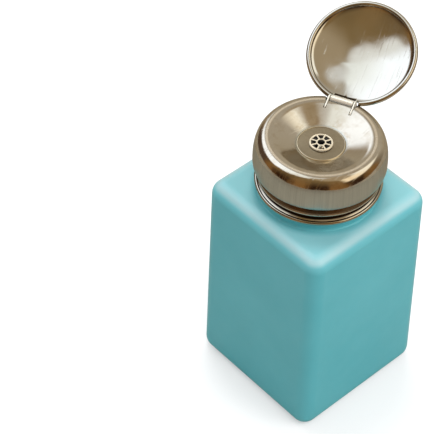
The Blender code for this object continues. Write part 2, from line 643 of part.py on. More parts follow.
def make_spring(steel, head):
    """The return spring, and the washer that it stands on at the cylinder's floor."""
    turned("spring_washer", [
        (WASHER_BORE_RADIUS, WASHER_TOP),
        (PLUG_RADIUS, WASHER_TOP),
        (PLUG_RADIUS, WASHER_BOTTOM),
        (WASHER_BORE_RADIUS, WASHER_BOTTOM),
    ], steel, parent=head)
    low = SPRING_BOTTOM + SPRING_WIRE_RADIUS
    high = SPRING_TOP - SPRING_WIRE_RADIUS
    count = SPRING_TURNS * SPRING_POINTS_PER_TURN
    points = []
    for i in range(count + 1):
        angle = 2 * math.pi * i / SPRING_POINTS_PER_TURN
        points.append((SPRING_RADIUS * math.cos(angle), SPRING_RADIUS * math.sin(angle),
                       low + (high - low) * i / count))
    wire("return_spring", points, SPRING_WIRE_RADIUS, steel, head)


def make_plunger(plastic, dark, rubber, steel, head):
    """The stem, the piston on its foot with its seal, the hub on its top and the outlet valve."""
    groove_root = PLUG_RADIUS - 2 * SEAL_SECTION_RADIUS - TOUCH_GAP
    groove_middle = (PISTON_TOP + PISTON_BOTTOM) / 2
    groove_half = SEAL_SECTION_RADIUS + TOUCH_GAP
    turned("stem", [
        (STEM_BORE_RADIUS, STEM_TOP),
        (STEM_RADIUS, STEM_TOP),
        (STEM_RADIUS, STEM_BOTTOM),
        (STEM_BORE_RADIUS, STEM_BOTTOM),
    ], steel, parent=head)
    turned("piston", [
        (STEM_FIT_RADIUS, PISTON_TOP),
        (PLUG_RADIUS, PISTON_TOP),
        (PLUG_RADIUS, groove_middle + groove_half),
        (groove_root, groove_middle + groove_half),
        (groove_root, groove_middle - groove_half),
        (PLUG_RADIUS, groove_middle - groove_half),
        (PLUG_RADIUS, PISTON_BOTTOM),
        (STEM_BORE_RADIUS, PISTON_BOTTOM),
        (STEM_BORE_RADIUS, PISTON_TOP - PISTON_SOCKET_DEPTH),
        (STEM_FIT_RADIUS, PISTON_TOP - PISTON_SOCKET_DEPTH),
    ], plastic, parent=head)
    seal_middle = PLUG_RADIUS - SEAL_SECTION_RADIUS
    turned("piston_seal", arc((seal_middle, groove_middle), SEAL_SECTION_RADIUS, 180, -135, 8), rubber,
           parent=head)
    turned("head_hub", [
        (SPIGOT_WELL_RADIUS, SPIGOT_TOP),
        (SPIGOT_RADIUS, SPIGOT_TOP),
        (SPIGOT_RADIUS, HUB_TOP),
        (HUB_RADIUS, HUB_TOP),
        (HUB_RADIUS, HUB_BOTTOM),
        (STEM_FIT_RADIUS, HUB_BOTTOM),
        (STEM_FIT_RADIUS, HUB_SOCKET_TOP),
        (OUTLET_BORE_RADIUS, HUB_SOCKET_TOP),
        (OUTLET_BORE_RADIUS, OUTLET_SEAT),
        (OUTLET_CHAMBER_RADIUS, OUTLET_SEAT + OUTLET_CHAMBER_RADIUS - OUTLET_BORE_RADIUS),
        (OUTLET_CHAMBER_RADIUS, SPIGOT_TOP - SPIGOT_WELL_DEPTH),
        (SPIGOT_WELL_RADIUS, SPIGOT_TOP - SPIGOT_WELL_DEPTH),
    ], dark, parent=head)
    ball("outlet_ball", OUTLET_BALL_RADIUS, OUTLET_BALL_HEIGHT, steel, head)


def dish_height(radius):
    """Of the dish's upper face: a cone from its floor outwards, rounded off as it comes up to the crest."""
    bend = CREST_RADIUS - DISH_ROUNDING
    slope = DISH_DEPTH / ((bend + CREST_RADIUS) / 2 - DISH_FLOOR_RADIUS)
    if radius < bend:
        return DISH_FLOOR + slope * (radius - DISH_FLOOR_RADIUS)
    return CREST_HEIGHT - slope * (CREST_RADIUS - radius) ** 2 / (2 * DISH_ROUNDING)


def shell_outline():
    """The head's outer face, from the hole in the dish to the skirt's lower edge."""
    outline = [(SHELL_HOLE_RADIUS, DISC_SEAT), (DISC_SEAT_RADIUS, DISC_SEAT),
               (DISH_FLOOR_RADIUS, DISH_FLOOR)]
    count = 6
    for i in range(count):
        radius = CREST_RADIUS - DISH_ROUNDING * (1 - i / count)
        outline.append((radius, dish_height(radius)))
    waist = HEAD_BOTTOM + SKIRT_WAIST_RISE
    power = 2 / SHOULDER_POWER
    count = 12
    for i in range(count + 1):
        angle = math.pi / 2 * (1 - i / count)
        outline.append((CREST_RADIUS + SHOULDER_INSET * max(math.cos(angle), 0) ** power,
                        waist + (CREST_HEIGHT - waist) * math.sin(angle) ** power))
    outline.append((SKIRT_RADIUS - SKIRT_TUCK, HEAD_BOTTOM))
    return outline


def make_head_shell(steel, head):
    shell = turned("head_shell", shell_outline(), steel, WIDE_STEPS, closed=False, wall=HEAD_WALL,
                   parent=head)
    inner = HINGE_RADIUS - NOTCH_RUN_IN
    outer = SKIRT_RADIUS + CUT_OVERRUN
    height = CREST_HEIGHT + CUT_OVERRUN - NOTCH_FLOOR
    flared = NOTCH_HALF_WIDTH + NOTCH_FLARE
    notch = plate("rim_notch", [
        (-NOTCH_HALF_WIDTH, inner), (NOTCH_HALF_WIDTH, inner),
        (flared, HINGE_RADIUS + BARREL_RADIUS), (flared, outer),
        (-flared, outer), (-flared, HINGE_RADIUS + BARREL_RADIUS),
    ], height, parent=head)
    notch.location.z = NOTCH_FLOOR + height / 2
    cut(shell, notch)
    for side in (-1, 1):
        faces = sorted((side * (EAR_INNER_FACE - TOUCH_GAP), side * (EAR_OUTER_FACE + TOUCH_GAP)))
        cut(shell, box("ear_slit", (faces[0], HINGE_RADIUS - EAR_REACH - TOUCH_GAP, DISH_FLOOR),
                       (faces[1], inner + TOUCH_GAP, CREST_HEIGHT + CUT_OVERRUN), parent=head))


def make_dish_centre(satin, steel, head):
    """The flat disc with its ridge, the nozzle's ring and the rosette that the liquid comes up through."""
    ridge_inner = DISC_RADIUS - DISC_RIDGE_WIDTH
    turned("centre_disc", [
        (SHELL_HOLE_RADIUS, DISC_TOP),
        (ridge_inner, DISC_TOP),
        (ridge_inner + DISC_RIDGE_WIDTH / 4, DISC_TOP + DISC_RIDGE_HEIGHT),
        (DISC_RADIUS - DISC_RIDGE_WIDTH / 4, DISC_TOP + DISC_RIDGE_HEIGHT),
        (DISC_RADIUS, DISC_TOP),
        (DISC_RADIUS, DISC_BOTTOM),
        (SHELL_HOLE_RADIUS, DISC_BOTTOM),
    ], satin, WIDE_STEPS, parent=head)
    ring_bottom = DISC_TOP + TOUCH_GAP
    ring_top = ring_bottom + NOZZLE_RING_HEIGHT
    turned("nozzle_ring", [
        (SHELL_HOLE_RADIUS, ring_top),
        (NOZZLE_RING_RADIUS - NOZZLE_RING_WALL / 2, ring_top),
        (NOZZLE_RING_RADIUS, ring_bottom),
        (SHELL_HOLE_RADIUS, ring_bottom),
    ], steel, parent=head)
    rosette_top = ROSETTE_BOTTOM + ROSETTE_THICKNESS
    rosette = turned("nozzle_rosette", [
        (ROSETTE_HOLE_RADIUS, rosette_top),
        (SPIGOT_RADIUS, rosette_top),
        (SPIGOT_RADIUS, ROSETTE_BOTTOM),
        (ROSETTE_HOLE_RADIUS, ROSETTE_BOTTOM),
    ], steel, parent=head)
    for i in range(PETAL_COUNT):
        petal = plate("petal", [
            (PETAL_INNER_RADIUS, -PETAL_INNER_WIDTH / 2), (PETAL_OUTER_RADIUS, -PETAL_OUTER_WIDTH / 2),
            (PETAL_OUTER_RADIUS, PETAL_OUTER_WIDTH / 2), (PETAL_INNER_RADIUS, PETAL_INNER_WIDTH / 2),
        ], ROSETTE_THICKNESS + 2 * CUT_OVERRUN, parent=head)
        petal.location.z = ROSETTE_BOTTOM + ROSETTE_THICKNESS / 2
        petal.rotation_euler.z = 2 * math.pi * (i + 0.5) / PETAL_COUNT
        cut(rosette, petal)


def make_hinge(steel, head):
    """The bracket, whose two ears stand up through the dish, and the pin between them."""
    inner = HINGE_RADIUS - EAR_REACH
    bridge_top = dish_height(inner) - HEAD_WALL - TOUCH_GAP
    bridge_bottom = bridge_top - EAR_THICKNESS
    bracket = box("hinge_bracket", (-EAR_OUTER_FACE, inner, bridge_bottom),
                  (EAR_OUTER_FACE, inner + EAR_FOOT_WIDTH, bridge_top), steel, head)
    # The outlines run in Y and Z from the pin, so each plate is stood up with its X along Y.
    crown = HINGE_HEIGHT - dish_height(inner)
    outline = [
        *arc((0, 0), EAR_END_RADIUS, -95, 130, 10),
        (-EAR_REACH + EAR_THICKNESS, -crown + EAR_THICKNESS),
        (-EAR_REACH, -crown),
        (-EAR_REACH, bridge_bottom - HINGE_HEIGHT),
        (-EAR_REACH + EAR_FOOT_WIDTH, bridge_bottom - HINGE_HEIGHT),
    ]
    stand_up = Matrix(((0, 0, 1), (1, 0, 0), (0, 1, 0))).to_4x4()
    for side in (-1, 1):
        ear = plate("hinge_ear", outline, EAR_THICKNESS)
        middle = side * (EAR_INNER_FACE + EAR_OUTER_FACE) / 2
        ear.data.transform(Matrix.Translation((middle, HINGE_RADIUS, HINGE_HEIGHT)) @ stand_up)
        ear.parent = head
        join(bracket, ear)
    reach = EAR_OUTER_FACE + CUT_OVERRUN
    bore = turned("ear_bore", [
        (0, reach), (PIN_BORE_RADIUS, reach), (PIN_BORE_RADIUS, -reach), (0, -reach),
    ], closed=False, parent=head)
    pin = turned("hinge_pin", [
        (0, PIN_END), (PIN_RADIUS, PIN_END), (PIN_RADIUS, -PIN_END), (0, -PIN_END),
    ], steel, SMALL_STEPS // 2, closed=False, parent=head)
    for obj in (bore, pin):
        obj.location = (0, HINGE_RADIUS, HINGE_HEIGHT)
        obj.rotation_euler.y = math.pi / 2
    cut(bracket, bore)


def dome_height(radius, top):
    """Of one of the lid's two domed faces over the middle of its rolled rim, from the height of its top."""
    middle = LID_RADIUS - LID_ROLL_RADIUS
    sag = LID_RISE - LID_ROLL_RADIUS * math.cos(math.radians(LID_RIM_LEAN_DEGREES))
    dome_radius = (middle ** 2 + sag ** 2) / (2 * sag)
    return top - dome_radius + math.sqrt(dome_radius ** 2 - radius ** 2)


def lid_outline():
    """Outer face, rolled rim and inner face of the closed lid, from the middle of its rolled rim."""
    middle = LID_RADIUS - LID_ROLL_RADIUS
    count = 7
    outer = [middle * i / count for i in range(count)]
    inner = [(middle - LID_ROLL_RADIUS / 2) * i / count for i in range(count)]
    return [
        *[(radius, dome_height(radius, LID_RISE)) for radius in outer],
        *arc((middle, 0), LID_ROLL_RADIUS, 110, -190, 11),
        *[(radius, dome_height(radius, LID_RISE - LID_WALL)) for radius in reversed(inner)],
    ]


def make_lid(steel, head):
    """The lid, made closed about its hinge and then swung open. Its origin is on the pin."""
    rim_rise = RIM_HEIGHT - HINGE_HEIGHT
    shell = turned("lid", lid_outline(), steel, WIDE_STEPS, closed=False)
    lid = as_mesh(shell, steel)
    lid.data.transform(Matrix.Translation((0, -HINGE_RADIUS, rim_rise)))
    notch = box("lid_notch", (-NOTCH_HALF_WIDTH, -NOTCH_RUN_IN, -2 * LID_ROLL_RADIUS),
                (NOTCH_HALF_WIDTH, 2 * BARREL_RADIUS, rim_rise + LID_RISE))
    leaf_radius = HINGE_RADIUS - LID_LEAF_REACH
    leaf = plate("lid_leaf", [
        (0, BARREL_RADIUS),
        (-LID_LEAF_REACH, rim_rise + dome_height(leaf_radius, LID_RISE - LID_WALL / 4)),
        (-LID_LEAF_REACH, rim_rise + dome_height(leaf_radius, LID_RISE - LID_WALL * 3 / 4)),
        (-BARREL_RADIUS, 0),
    ], BARREL_LENGTH)
    leaf.data.transform(Matrix(((0, 0, 1), (1, 0, 0), (0, 1, 0))).to_4x4())
    half = BARREL_LENGTH / 2
    barrel = turned("lid_barrel", [(0, half), (BARREL_RADIUS, half), (BARREL_RADIUS, -half), (0, -half)],
                    closed=False)
    reach = half + CUT_OVERRUN
    bore = turned("barrel_bore", [(0, reach), (PIN_BORE_RADIUS, reach), (PIN_BORE_RADIUS, -reach),
                                  (0, -reach)], closed=False)
    for obj in (barrel, bore):
        obj.rotation_euler.y = math.pi / 2
    cut(lid, notch)
    join(lid, leaf, barrel)
    cut(lid, bore)
    for obj in (lid, notch, leaf, barrel, bore):
        obj.matrix_parent_inverse = Matrix.Identity(4)
        obj.parent = hinge_frame(head)


def hinge_frame(head):
    """The empty on the pin that swings the lid and what shapes it."""
    frame = bpy.data.objects.get("lid_hinge")
    if frame is None:
        frame = bpy.data.objects.new("lid_hinge", None)
        PARTS.objects.link(frame)
        frame.parent = head
        frame.location = (0, HINGE_RADIUS, HINGE_HEIGHT)
        frame.rotation_euler.x = -math.radians(LID_OPEN_DEGREES)
    return frame


clear_scene()
PARTS = new_collection("nail_polish_remover_pump")
CUTTERS = new_collection("cutters")


def main():
    teal = new_material("teal_plastic", (0.17, 0.51, 0.54), 0.45)
    white = new_material("white_plastic", (0.86, 0.86, 0.84), 0.4)
    natural = new_material("natural_plastic", (0.74, 0.77, 0.76), 0.35)
    dark = new_material("black_plastic", (0.03, 0.03, 0.03), 0.4)
    rubber = new_material("black_rubber", (0.03, 0.03, 0.03), 0.7)
    satin = new_material("satin_steel", (0.45, 0.43, 0.39), 0.38, 1.0)
    polished = new_material("polished_steel", (0.62, 0.60, 0.56), 0.14, 1.0)

    head = bpy.data.objects.new("head_axis", None)
    PARTS.objects.link(head)
    head.rotation_euler.z = math.radians(HEADING_DEGREES)

    make_bottle(teal)
    make_gasket(rubber)
    make_collar(polished, white)
    make_cylinder(white)
    make_guide(white)
    make_dip_tube(natural)
    make_inlet_valve(natural, polished)
    make_spring(polished, head)
    make_plunger(white, dark, rubber, polished, head)
    make_head_shell(polished, head)
    make_dish_centre(satin, polished, head)
    make_hinge(polished, head)
    make_lid(polished, head)


main()
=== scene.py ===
"""Nail polish remover pump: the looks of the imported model, from the photograph's viewing angle.

Every piece is in metres in the model's frame. Outlines are written in millimetres and scaled by MM.
The head's pieces are made with the hinge at +Y and then turned by HEADING. The lid is made closed
about the hinge pin and then swung open. Colours are linear red, green and blue.
"""

import math

import bmesh
import bpy
from mathutils import Matrix, Vector


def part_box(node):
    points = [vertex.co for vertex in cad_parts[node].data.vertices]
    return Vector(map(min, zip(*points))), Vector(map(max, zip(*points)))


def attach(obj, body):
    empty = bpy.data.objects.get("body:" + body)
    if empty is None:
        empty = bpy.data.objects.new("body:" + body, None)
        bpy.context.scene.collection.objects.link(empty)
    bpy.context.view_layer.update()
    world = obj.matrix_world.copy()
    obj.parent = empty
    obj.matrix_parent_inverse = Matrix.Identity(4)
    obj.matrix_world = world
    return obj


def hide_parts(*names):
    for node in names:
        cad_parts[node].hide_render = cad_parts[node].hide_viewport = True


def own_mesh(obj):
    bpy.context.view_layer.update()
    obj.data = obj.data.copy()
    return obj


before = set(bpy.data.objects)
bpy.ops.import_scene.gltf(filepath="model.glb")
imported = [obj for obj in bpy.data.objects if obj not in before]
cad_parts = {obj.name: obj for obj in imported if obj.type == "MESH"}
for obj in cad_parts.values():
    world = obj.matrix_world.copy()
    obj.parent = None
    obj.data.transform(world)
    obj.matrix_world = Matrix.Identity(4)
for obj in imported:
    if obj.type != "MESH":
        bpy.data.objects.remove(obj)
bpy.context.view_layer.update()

MM = 0.001
TURN_STEPS = 180  # round a turned piece
SMALL_STEPS = 72  # round the hinge's pin, barrel and bores
SHARP_DEGREES = 32
OVER = 1.0  # how far, in millimetres, a cutter reaches past what it cuts

# Bottle, in millimetres. The flare at the neck's foot starts a little below the shoulder.
BASE_WIDTH, TOP_WIDTH, SHOULDER, WALL, FLOOR = 56.2, 54.0, 86.4, 1.5, 2.7
EDGE_RADIUS, EDGE_SEGMENTS, INNER_SEGMENTS = 5.3, 14, 6
RECESS, RECESS_CORNER, RECESS_EDGE, RIM_REACH, RIB_WIDTH = 1.2, 1.2, 0.4, 19.2, 4.2
NECK_R, NECK_BORE_R, NECK_TOP, NECK_ROUND = 17.5, 15.5, 95.3, 0.3
STEP_R, STEP_TOP, STEP_ROUND, FLARE, FLARE_SINK = 20.3, 89.6, 0.25, 1.0, 0.03
THREAD_R, THREAD_RIDGE_R, THREAD_LOW, THREAD_PITCH = 17.7, 0.7, 91.325, 3.175
THREAD_TURNS, THREAD_STEPS = 1.0, 48
THREAD_END, THREAD_FADE = 0.3, 5  # the ridge's share left at its ends, and the points it fades over

# The bottle's moulded scale, in millimetres
MARK_LINE, MARK_SHORT, MARK_LONG, MARK_PROUD, MARK_EDGE = 0.6, 3.0, 7.0, 0.3, 0.1
NUMBER_SIZE, NUMBER_GAP, NUMBER_EDGE = 4.4, 1.0, 0.05
LINE_DEPTH, NUMBER_DEPTH = 1.8, 0.75  # of MARK_PROUD

# Collar, in millimetres: radius and height, from the mouth out and down, and then back up inside
COLLAR_MOUTH_R, COLLAR_TOP = 9.9, 98.9
COLLAR_EDGE, COLLAR_EDGE_R = (18.85, 98.15), 0.75
COLLAR_WALL_FOOT = (20.9, 94.98)
BEAD, BEAD_R = (20.3, 94.1), 0.8
GROOVE = ((20.3, 93.1), (20.275, 91.75))
FLANGE, FLANGE_R = (21.2, 90.8), 0.7
COLLAR_INSIDE = ((19.9, 90.1), (19.9, 96.3), (19.35, 98.3), (COLLAR_MOUTH_R, 98.4))

# Head, in millimetres
HEADING = math.radians(24.5)
CREST_R, CREST_Z, BEND_R, DISH_R, DISH_Z = 18.1, 110.3, 15.8, 8.35, 106.85
CONE_STEPS, BEND_STEPS, SHOULDER_STEPS = 14, 18, 44
SHELL_WALL, SHELL_HOLE_R, SEAT_R, SEAT_LOOP_R, SEAT_Z = 0.6, 3.6, 8.2, 6.0, 106.25
SHOULDER_OUT, SHOULDER_POWER, WAIST_Z = 4.6, 2.55, 100.2
SKIRT = ((22.68, 99.5), (22.58, 98.8))
SKIRT_LOW_R, SKIRT_Z, SKIRT_CHAMFER = 22.3, 98.2, 0.12
SATIN_TOP_Z = 107.0

# The disc and the nozzle in the middle of the dish, in millimetres
DISC_R, DISC_Z, DISC_FLAT_R, DISC_OUT_R, DISC_LOW_R = 7.9, 106.95, 7.7, 8.3, 8.19
RIDGE_AT_R, RIDGE_R, DISC_DROP, DISC_LIFT = 7.95, 0.2, 0.1, 0.05
RIM_IN_R, RIM_LOW_Z, RIM_ROUND, RIM_ROUND_R = 3.58, 107.22, (3.78, 107.54), 0.2
RIM_OUTSIDE = ((4.04, 107.4), (4.1, RIM_LOW_Z))
ROSETTE_R, ROSETTE_HOLE_R, ROSETTE_Z, ROSETTE_THICK, ROSETTE_EDGE = 3.6, 1.25, 107.5, 0.36, 0.05
PETALS, PETAL_CORNER = 8, 0.26
PETAL = [(1.66, -0.46), (3.36, -1.1), (3.36, 1.1), (1.66, 0.46)]

# Hinge, in millimetres. Its bracket is two ears on a bridge under the dish.
PIN_Y, PIN_Z, PIN_R, PIN_BORE_R, PIN_BORE_HALF = 18.9, 109.9, 0.6, 0.9, 6
PIN_HEAD = [(0, 5.15), (0.55, 5.12), (0.85, 5.03), (0.98, 4.93), (PIN_R, 4.88)]
BARREL_R, BARREL_HALF, BARREL_EDGE = 1.3, 3.95, 0.15
EAR_IN, EAR_OUT, EAR_R, EAR_REACH, EAR_EDGE, EAR_FOOT = 4.25, 4.85, 1.5, 4.7, 0.1, 3.0
EAR_SLACK, BRIDGE_GAP, BRIDGE_THICK = 0.1, 0.3, 0.6
NOTCH_HALF, NOTCH_FLARE, NOTCH_Y, NOTCH_Z, NOTCH_OUT_Y = 5.3, 1.1, 17.0, 108.1, 24
SLIT_GAP, SLIT_OVERLAP = 0.15, 0.3

# Lid, in millimetres, about the pin where it says so
LID_R, ROLL_R, RIM_RISE, LID_RISE, LID_WALL = 19.15, 0.9, 1.6, 3.8, 0.6
ROLL_MEETS_DOME, ROLL_STEPS, DOME_STEPS, DOME_REACH = math.radians(35), 40, 20, 0.99
LID_NOTCH_LOW, LID_NOTCH_HIGH = (-NOTCH_HALF, -1.9, -2), (NOTCH_HALF, 3, 6)  # about the pin
LEAF_REACH, LEAF_EDGE = 3.1, 0.06
LID_OPEN = math.radians(151.5)

# Return spring, in millimetres, and the share of its length that the head's full stroke leaves
SPRING_WIRE_R, SPRING_TURNS, SPRING_STEPS, SPRING_KEEP = 0.5, 6, 24, 0.676

# Where the painted highlights and painted shades of the bottle's shoulder, the head's crest and the collar
# lie, in metres
ROUNDING_LOW, ROUNDING_HIGH = (SHOULDER - 0.38 * EDGE_RADIUS) * MM, (SHOULDER - 0.25) * MM
NECK_SHADE_IN, NECK_SHADE_OUT, NECK_SHADE = 0.0206, 0.0234, 0.65
CREST_LOW, CREST_HIGH = 0.1098, 0.1101
COLLAR_WALL_LOW, COLLAR_WALL_HIGH = 0.09455, 0.09475
GROOVE_LOW, GROOVE_HIGH = 0.09165, 0.0935
FLANGE_LOW, FLANGE_HIGH = 0.0912, 0.0914

# Colours: the darker and the paler one of each drift, and then single ones
TEAL = (0.078, 0.39, 0.435), (0.093, 0.42, 0.465)
WHITE = (0.78, 0.78, 0.76), (0.86, 0.86, 0.84)
NATURAL = (0.66, 0.70, 0.69), (0.76, 0.79, 0.78)
BLACK = (0.012, 0.012, 0.012), (0.022, 0.021, 0.02)
RUBBER = (0.018, 0.018, 0.018), (0.04, 0.04, 0.038)
POLISHED = (0.52, 0.48, 0.41), (0.57, 0.53, 0.46)
HEAD = (0.52, 0.485, 0.42), (0.57, 0.535, 0.47)
HEAD_SKIRT = (0.40, 0.41, 0.385), (0.51, 0.52, 0.48)
COLLAR = (0.44, 0.42, 0.36), (0.50, 0.47, 0.41)
LID = (0.53, 0.52, 0.48), (0.58, 0.57, 0.53)
DISC = (0.38, 0.335, 0.25), (0.48, 0.425, 0.32)
# The hinge's steel is paler and less metallic than the rest, a painted reflection
HINGE_PAINTED_REFLECTION = (0.80, 0.77, 0.68), (0.86, 0.83, 0.74)
NOZZLE = (0.84, 0.76, 0.59), (0.90, 0.83, 0.67)
# Painted light on the bottle: sheen on the top, a highlight along the top edges, and the shadow round the
# neck
TOP_PAINTED_SHEEN, EDGE_PAINTED_HIGHLIGHT, NECK_SHADOW_COLOUR = (0.19, 0.50, 0.54), (0.30, 0.51, 0.54), (0.03, 0.34, 0.385)
# The crest's paler colour is a painted highlight
DISH_STAIN, CREST_PAINTED_HIGHLIGHT = (0.36, 0.28, 0.18), (0.88, 0.82, 0.72)
# The disc's ridge colour is a painted highlight
DISC_GRAIN, DISC_RIDGE_HIGHLIGHT = (0.27, 0.235, 0.17), (0.80, 0.73, 0.56)
# Painted light on the collar: shade on its wall under the skirt and in its groove, and a brown reflection on
# its flange
COLLAR_WALL_PAINTED_SHADE, COLLAR_GROOVE_PAINTED_SHADE, COLLAR_FLANGE_PAINTED_REFLECTION = (0.13, 0.085, 0.05), (0.045, 0.03, 0.02), (0.42, 0.38, 0.30)
EDGE_TINT = (0.72, 0.66, 0.58, 1)  # of steel seen at a low angle
PURE_WHITE = (1, 1, 1, 1)

# The studio. Headings and heights are in degrees, and a heading goes from +X towards +Y.
AMBIENT, FLOOR_SHADE = (0.66, 0.66, 0.66), (0.55, 0.55, 0.55)
FLOOR_HALF, FLOOR_DROP, FLOOR_LIFT, FLOOR_REFLECTED = 0.6, 0.0001, 0.42, (0.36, 0.32, 0.25)
DRAPES_HEADING, DRAPES_COUNT, DRAPES_WEIGHT = -75, 6.0, 0.8
DRAPES = (0.05, 0.02, 0.007), (0.32, 0.16, 0.05)
NEAR_HIGH, FAR_LOW, FAR_HIGH = (0.33, 0.215, 0.09), (0.58, 0.50, 0.36), (0.61, 0.54, 0.44)
FAR_HEADING, FAR_FROM, FAR_TO, FAR_SOFT = 118, -50, 46, 16
CORNER_HEADING, CORNER_FROM, CORNER_TO, CORNER_SOFT, CORNER = 194, -26, 24, 6, (0.13, 0.08, 0.05)
GLOWS = (  # heading, height, full within this angle, gone beyond this one, colour
    (40, 72, 20, 32, (0.56, 0.43, 0.27)),
    (233, 73, 8, 12, (1.25, 1.25, 1.21)),
    (229, 58, 8, 12, (1.25, 1.25, 1.21)),
    (138, 82, 4, 8, (1.05, 1.04, 1.0)),
)
WINDOWS = (  # heading, half width, rise for each degree aside, sill, top, colour from one side to the other
    (189, 38, 0.18, 32, 84, (1.8, 1.9, 2.05), (1.8, 1.9, 2.05)),
    (40, 42, 0.2, 30, 61, (1.6, 1.32, 0.92), (1.65, 1.55, 1.32)),
)
WINDOW_SIDE_SOFT, WINDOW_LEVEL_SOFT = 5.0, 4.0
WINDOW_TOP, WINDOW_TOP_FROM, WINDOW_TOP_TO = (1.45, 1.5, 1.48), 58.0, 74.0
LAMPS = (  # name, place, what it points at, diameter, watts
    ("right_light", (0.71, 0.30, 0.84), (0, 0, 0.06), 0.8, 6.3),
    ("left_light", (-0.70, -0.12, 0.90), (0, 0, 0.06), 0.8, 3.4),
    ("back_light", (-0.26, 0.18, 1.02), (0, 0, 0.08), 0.3, 3.5),
    ("front_light", (0.34, -0.30, 1.05), (0, 0, 0.08), 0.3, 1.3),
)

# The camera that was fitted to the photograph
SENSOR, LENS = 36.0, 149.31
CAMERA_PLACE = (0.292583, -0.313173, 0.525595)
CAMERA_RIGHT = (0.66536, 0.74645, 0.01084)
CAMERA_UP = (-0.54922, 0.47961, 0.68435)
CAMERA_BACK = (0.50563, -0.46129, 0.72907)

HEAD_TURN = Matrix.Rotation(HEADING, 4, "Z")
PIN_PLACE = Matrix.Translation((0, PIN_Y * MM, PIN_Z * MM))
LID_PLACE = HEAD_TURN @ PIN_PLACE @ Matrix.Rotation(-LID_OPEN, 4, "X")
Z_TO_X = Matrix.Rotation(math.pi / 2, 4, "Y")  # lays a turned piece along X
ALONG_X = Matrix(((0, 0, 1), (1, 0, 0), (0, 1, 0))).to_4x4()  # stands an outline in X, Y up in Y, Z


def arc(centre, radius, start, end, count=12):
    """Points on a circle's arc, both ends included, with the angles in degrees."""
    angles = [math.radians(start + (end - start) * i / (count - 1)) for i in range(count)]
    return [(centre[0] + radius * math.cos(a), centre[1] + radius * math.sin(a)) for a in angles]


def helix(radius, low, rise, turns, per_turn):
    """Points on a helix about the Z axis."""
    count = round(turns * per_turn)
    points = []
    for i in range(count + 1):
        angle = 2 * math.pi * turns * i / count
        points.append((radius * math.cos(angle), radius * math.sin(angle), low + rise * i / count))
    return points


def even_steps(low, high, count):
    """Evenly spaced values that start at low and stop a step before high."""
    return [low + (high - low) * i / count for i in range(count)]


def rounded_corners(corners, radius, count=5):
    """The outline with each corner cut back and rounded."""
    outline = []
    for before, corner, after in zip(corners[-1:] + corners[:-1], corners, corners[1:] + corners[:1]):
        corner = Vector(corner)
        start = corner + (Vector(before) - corner).normalized() * radius
        end = corner + (Vector(after) - corner).normalized() * radius
        for i in range(count):
            t = i / (count - 1)
            outline.append(tuple((1 - t) ** 2 * start + 2 * t * (1 - t) * corner + t ** 2 * end))
    return outline


def inner_face(outline, wall):
    """The outline moved inwards by a wall, listed backwards."""
    moved = []
    for i, (radius, height) in enumerate(outline):
        before, after = outline[max(i - 1, 0)], outline[min(i + 1, len(outline) - 1)]
        along = Vector((after[0] - before[0], after[1] - before[1])).normalized()
        moved.append((radius + along.y * wall, height - along.x * wall))
    return moved[::-1]


def new_piece(name, mesh):
    obj = bpy.data.objects.new(name, mesh)
    bpy.context.scene.collection.objects.link(obj)
    return obj


def revolve(name, outline, steps=TURN_STEPS, closed=True):
    """Turns (radius, height) points about Z. An outline with its ends on the axis isn't closed."""
    shape = bmesh.new()
    rings = []
    for radius, height in outline:
        if radius < 1e-6:
            rings.append([shape.verts.new((0, 0, height * MM))])
            continue
        rings.append([shape.verts.new((radius * MM * math.cos(2 * math.pi * i / steps),
                                       radius * MM * math.sin(2 * math.pi * i / steps),
                                       height * MM)) for i in range(steps)])
    pairs = list(zip(rings, rings[1:]))
    if closed:
        pairs.append((rings[-1], rings[0]))
    for first, second in pairs:
        for i in range(steps):
            corners = [first[i % len(first)], first[(i + 1) % steps % len(first)],
                       second[(i + 1) % steps % len(second)], second[i % len(second)]]
            face = list(dict.fromkeys(corners))
            if len(face) > 2:
                shape.faces.new(face)
    bmesh.ops.recalc_face_normals(shape, faces=shape.faces)
    mesh = bpy.data.meshes.new(name)
    shape.to_mesh(mesh)
    shape.free()
    return new_piece(name, mesh)


def applied(obj):
    """The object with its modifiers made part of its mesh and its doubled points welded."""
    bpy.context.view_layer.update()
    mesh = bpy.data.meshes.new_from_object(obj.evaluated_get(bpy.context.evaluated_depsgraph_get()))
    name, place = obj.name, obj.matrix_world.copy()
    bpy.data.objects.remove(obj)
    shape = bmesh.new()
    shape.from_mesh(mesh)
    bmesh.ops.remove_doubles(shape, verts=shape.verts, dist=1e-6)
    bmesh.ops.recalc_face_normals(shape, faces=shape.faces)
    shape.to_mesh(mesh)
    shape.free()
    mesh.materials.clear()
    result = new_piece(name, mesh)
    result.matrix_world = place
    return result


def combined(obj, others, operation):
    """The object with the others joined to it or cut from it, which takes them away."""
    for other in others:
        change = obj.modifiers.new(other.name, "BOOLEAN")
        change.operation, change.object, change.solver = operation, other, "EXACT"
    result = applied(obj)
    for other in others:
        bpy.data.objects.remove(other)
    return result


def plate(name, outlines, thickness, edge=0.0, place=Matrix()):
    """A flat plate with rounded edges. The first outline is its outside, and the rest are holes."""
    curve = bpy.data.curves.new(name, "CURVE")
    curve.dimensions, curve.fill_mode = "2D", "BOTH"
    curve.extrude = (thickness / 2 - edge) * MM
    curve.bevel_depth, curve.bevel_resolution, curve.offset = edge * MM, 3, -edge * MM
    for outline in outlines:
        spline = curve.splines.new("POLY")
        spline.points.add(len(outline) - 1)
        for point, (x, y) in zip(spline.points, outline):
            point.co = (x * MM, y * MM, 0, 1)
        spline.use_cyclic_u = True
    obj = applied(new_piece(name, curve))
    obj.data.transform(place)
    return obj


def block(name, low, high):
    shape = bmesh.new()
    bmesh.ops.create_cube(shape, size=MM)
    size = [b - a for a, b in zip(low, high)]
    middle = [(a + b) / 2 * MM for a, b in zip(low, high)]
    bmesh.ops.transform(shape, verts=shape.verts,
                        matrix=Matrix.Translation(middle) @ Matrix.Diagonal((*size, 1)))
    mesh = bpy.data.meshes.new(name)
    shape.to_mesh(mesh)
    shape.free()
    return new_piece(name, mesh)


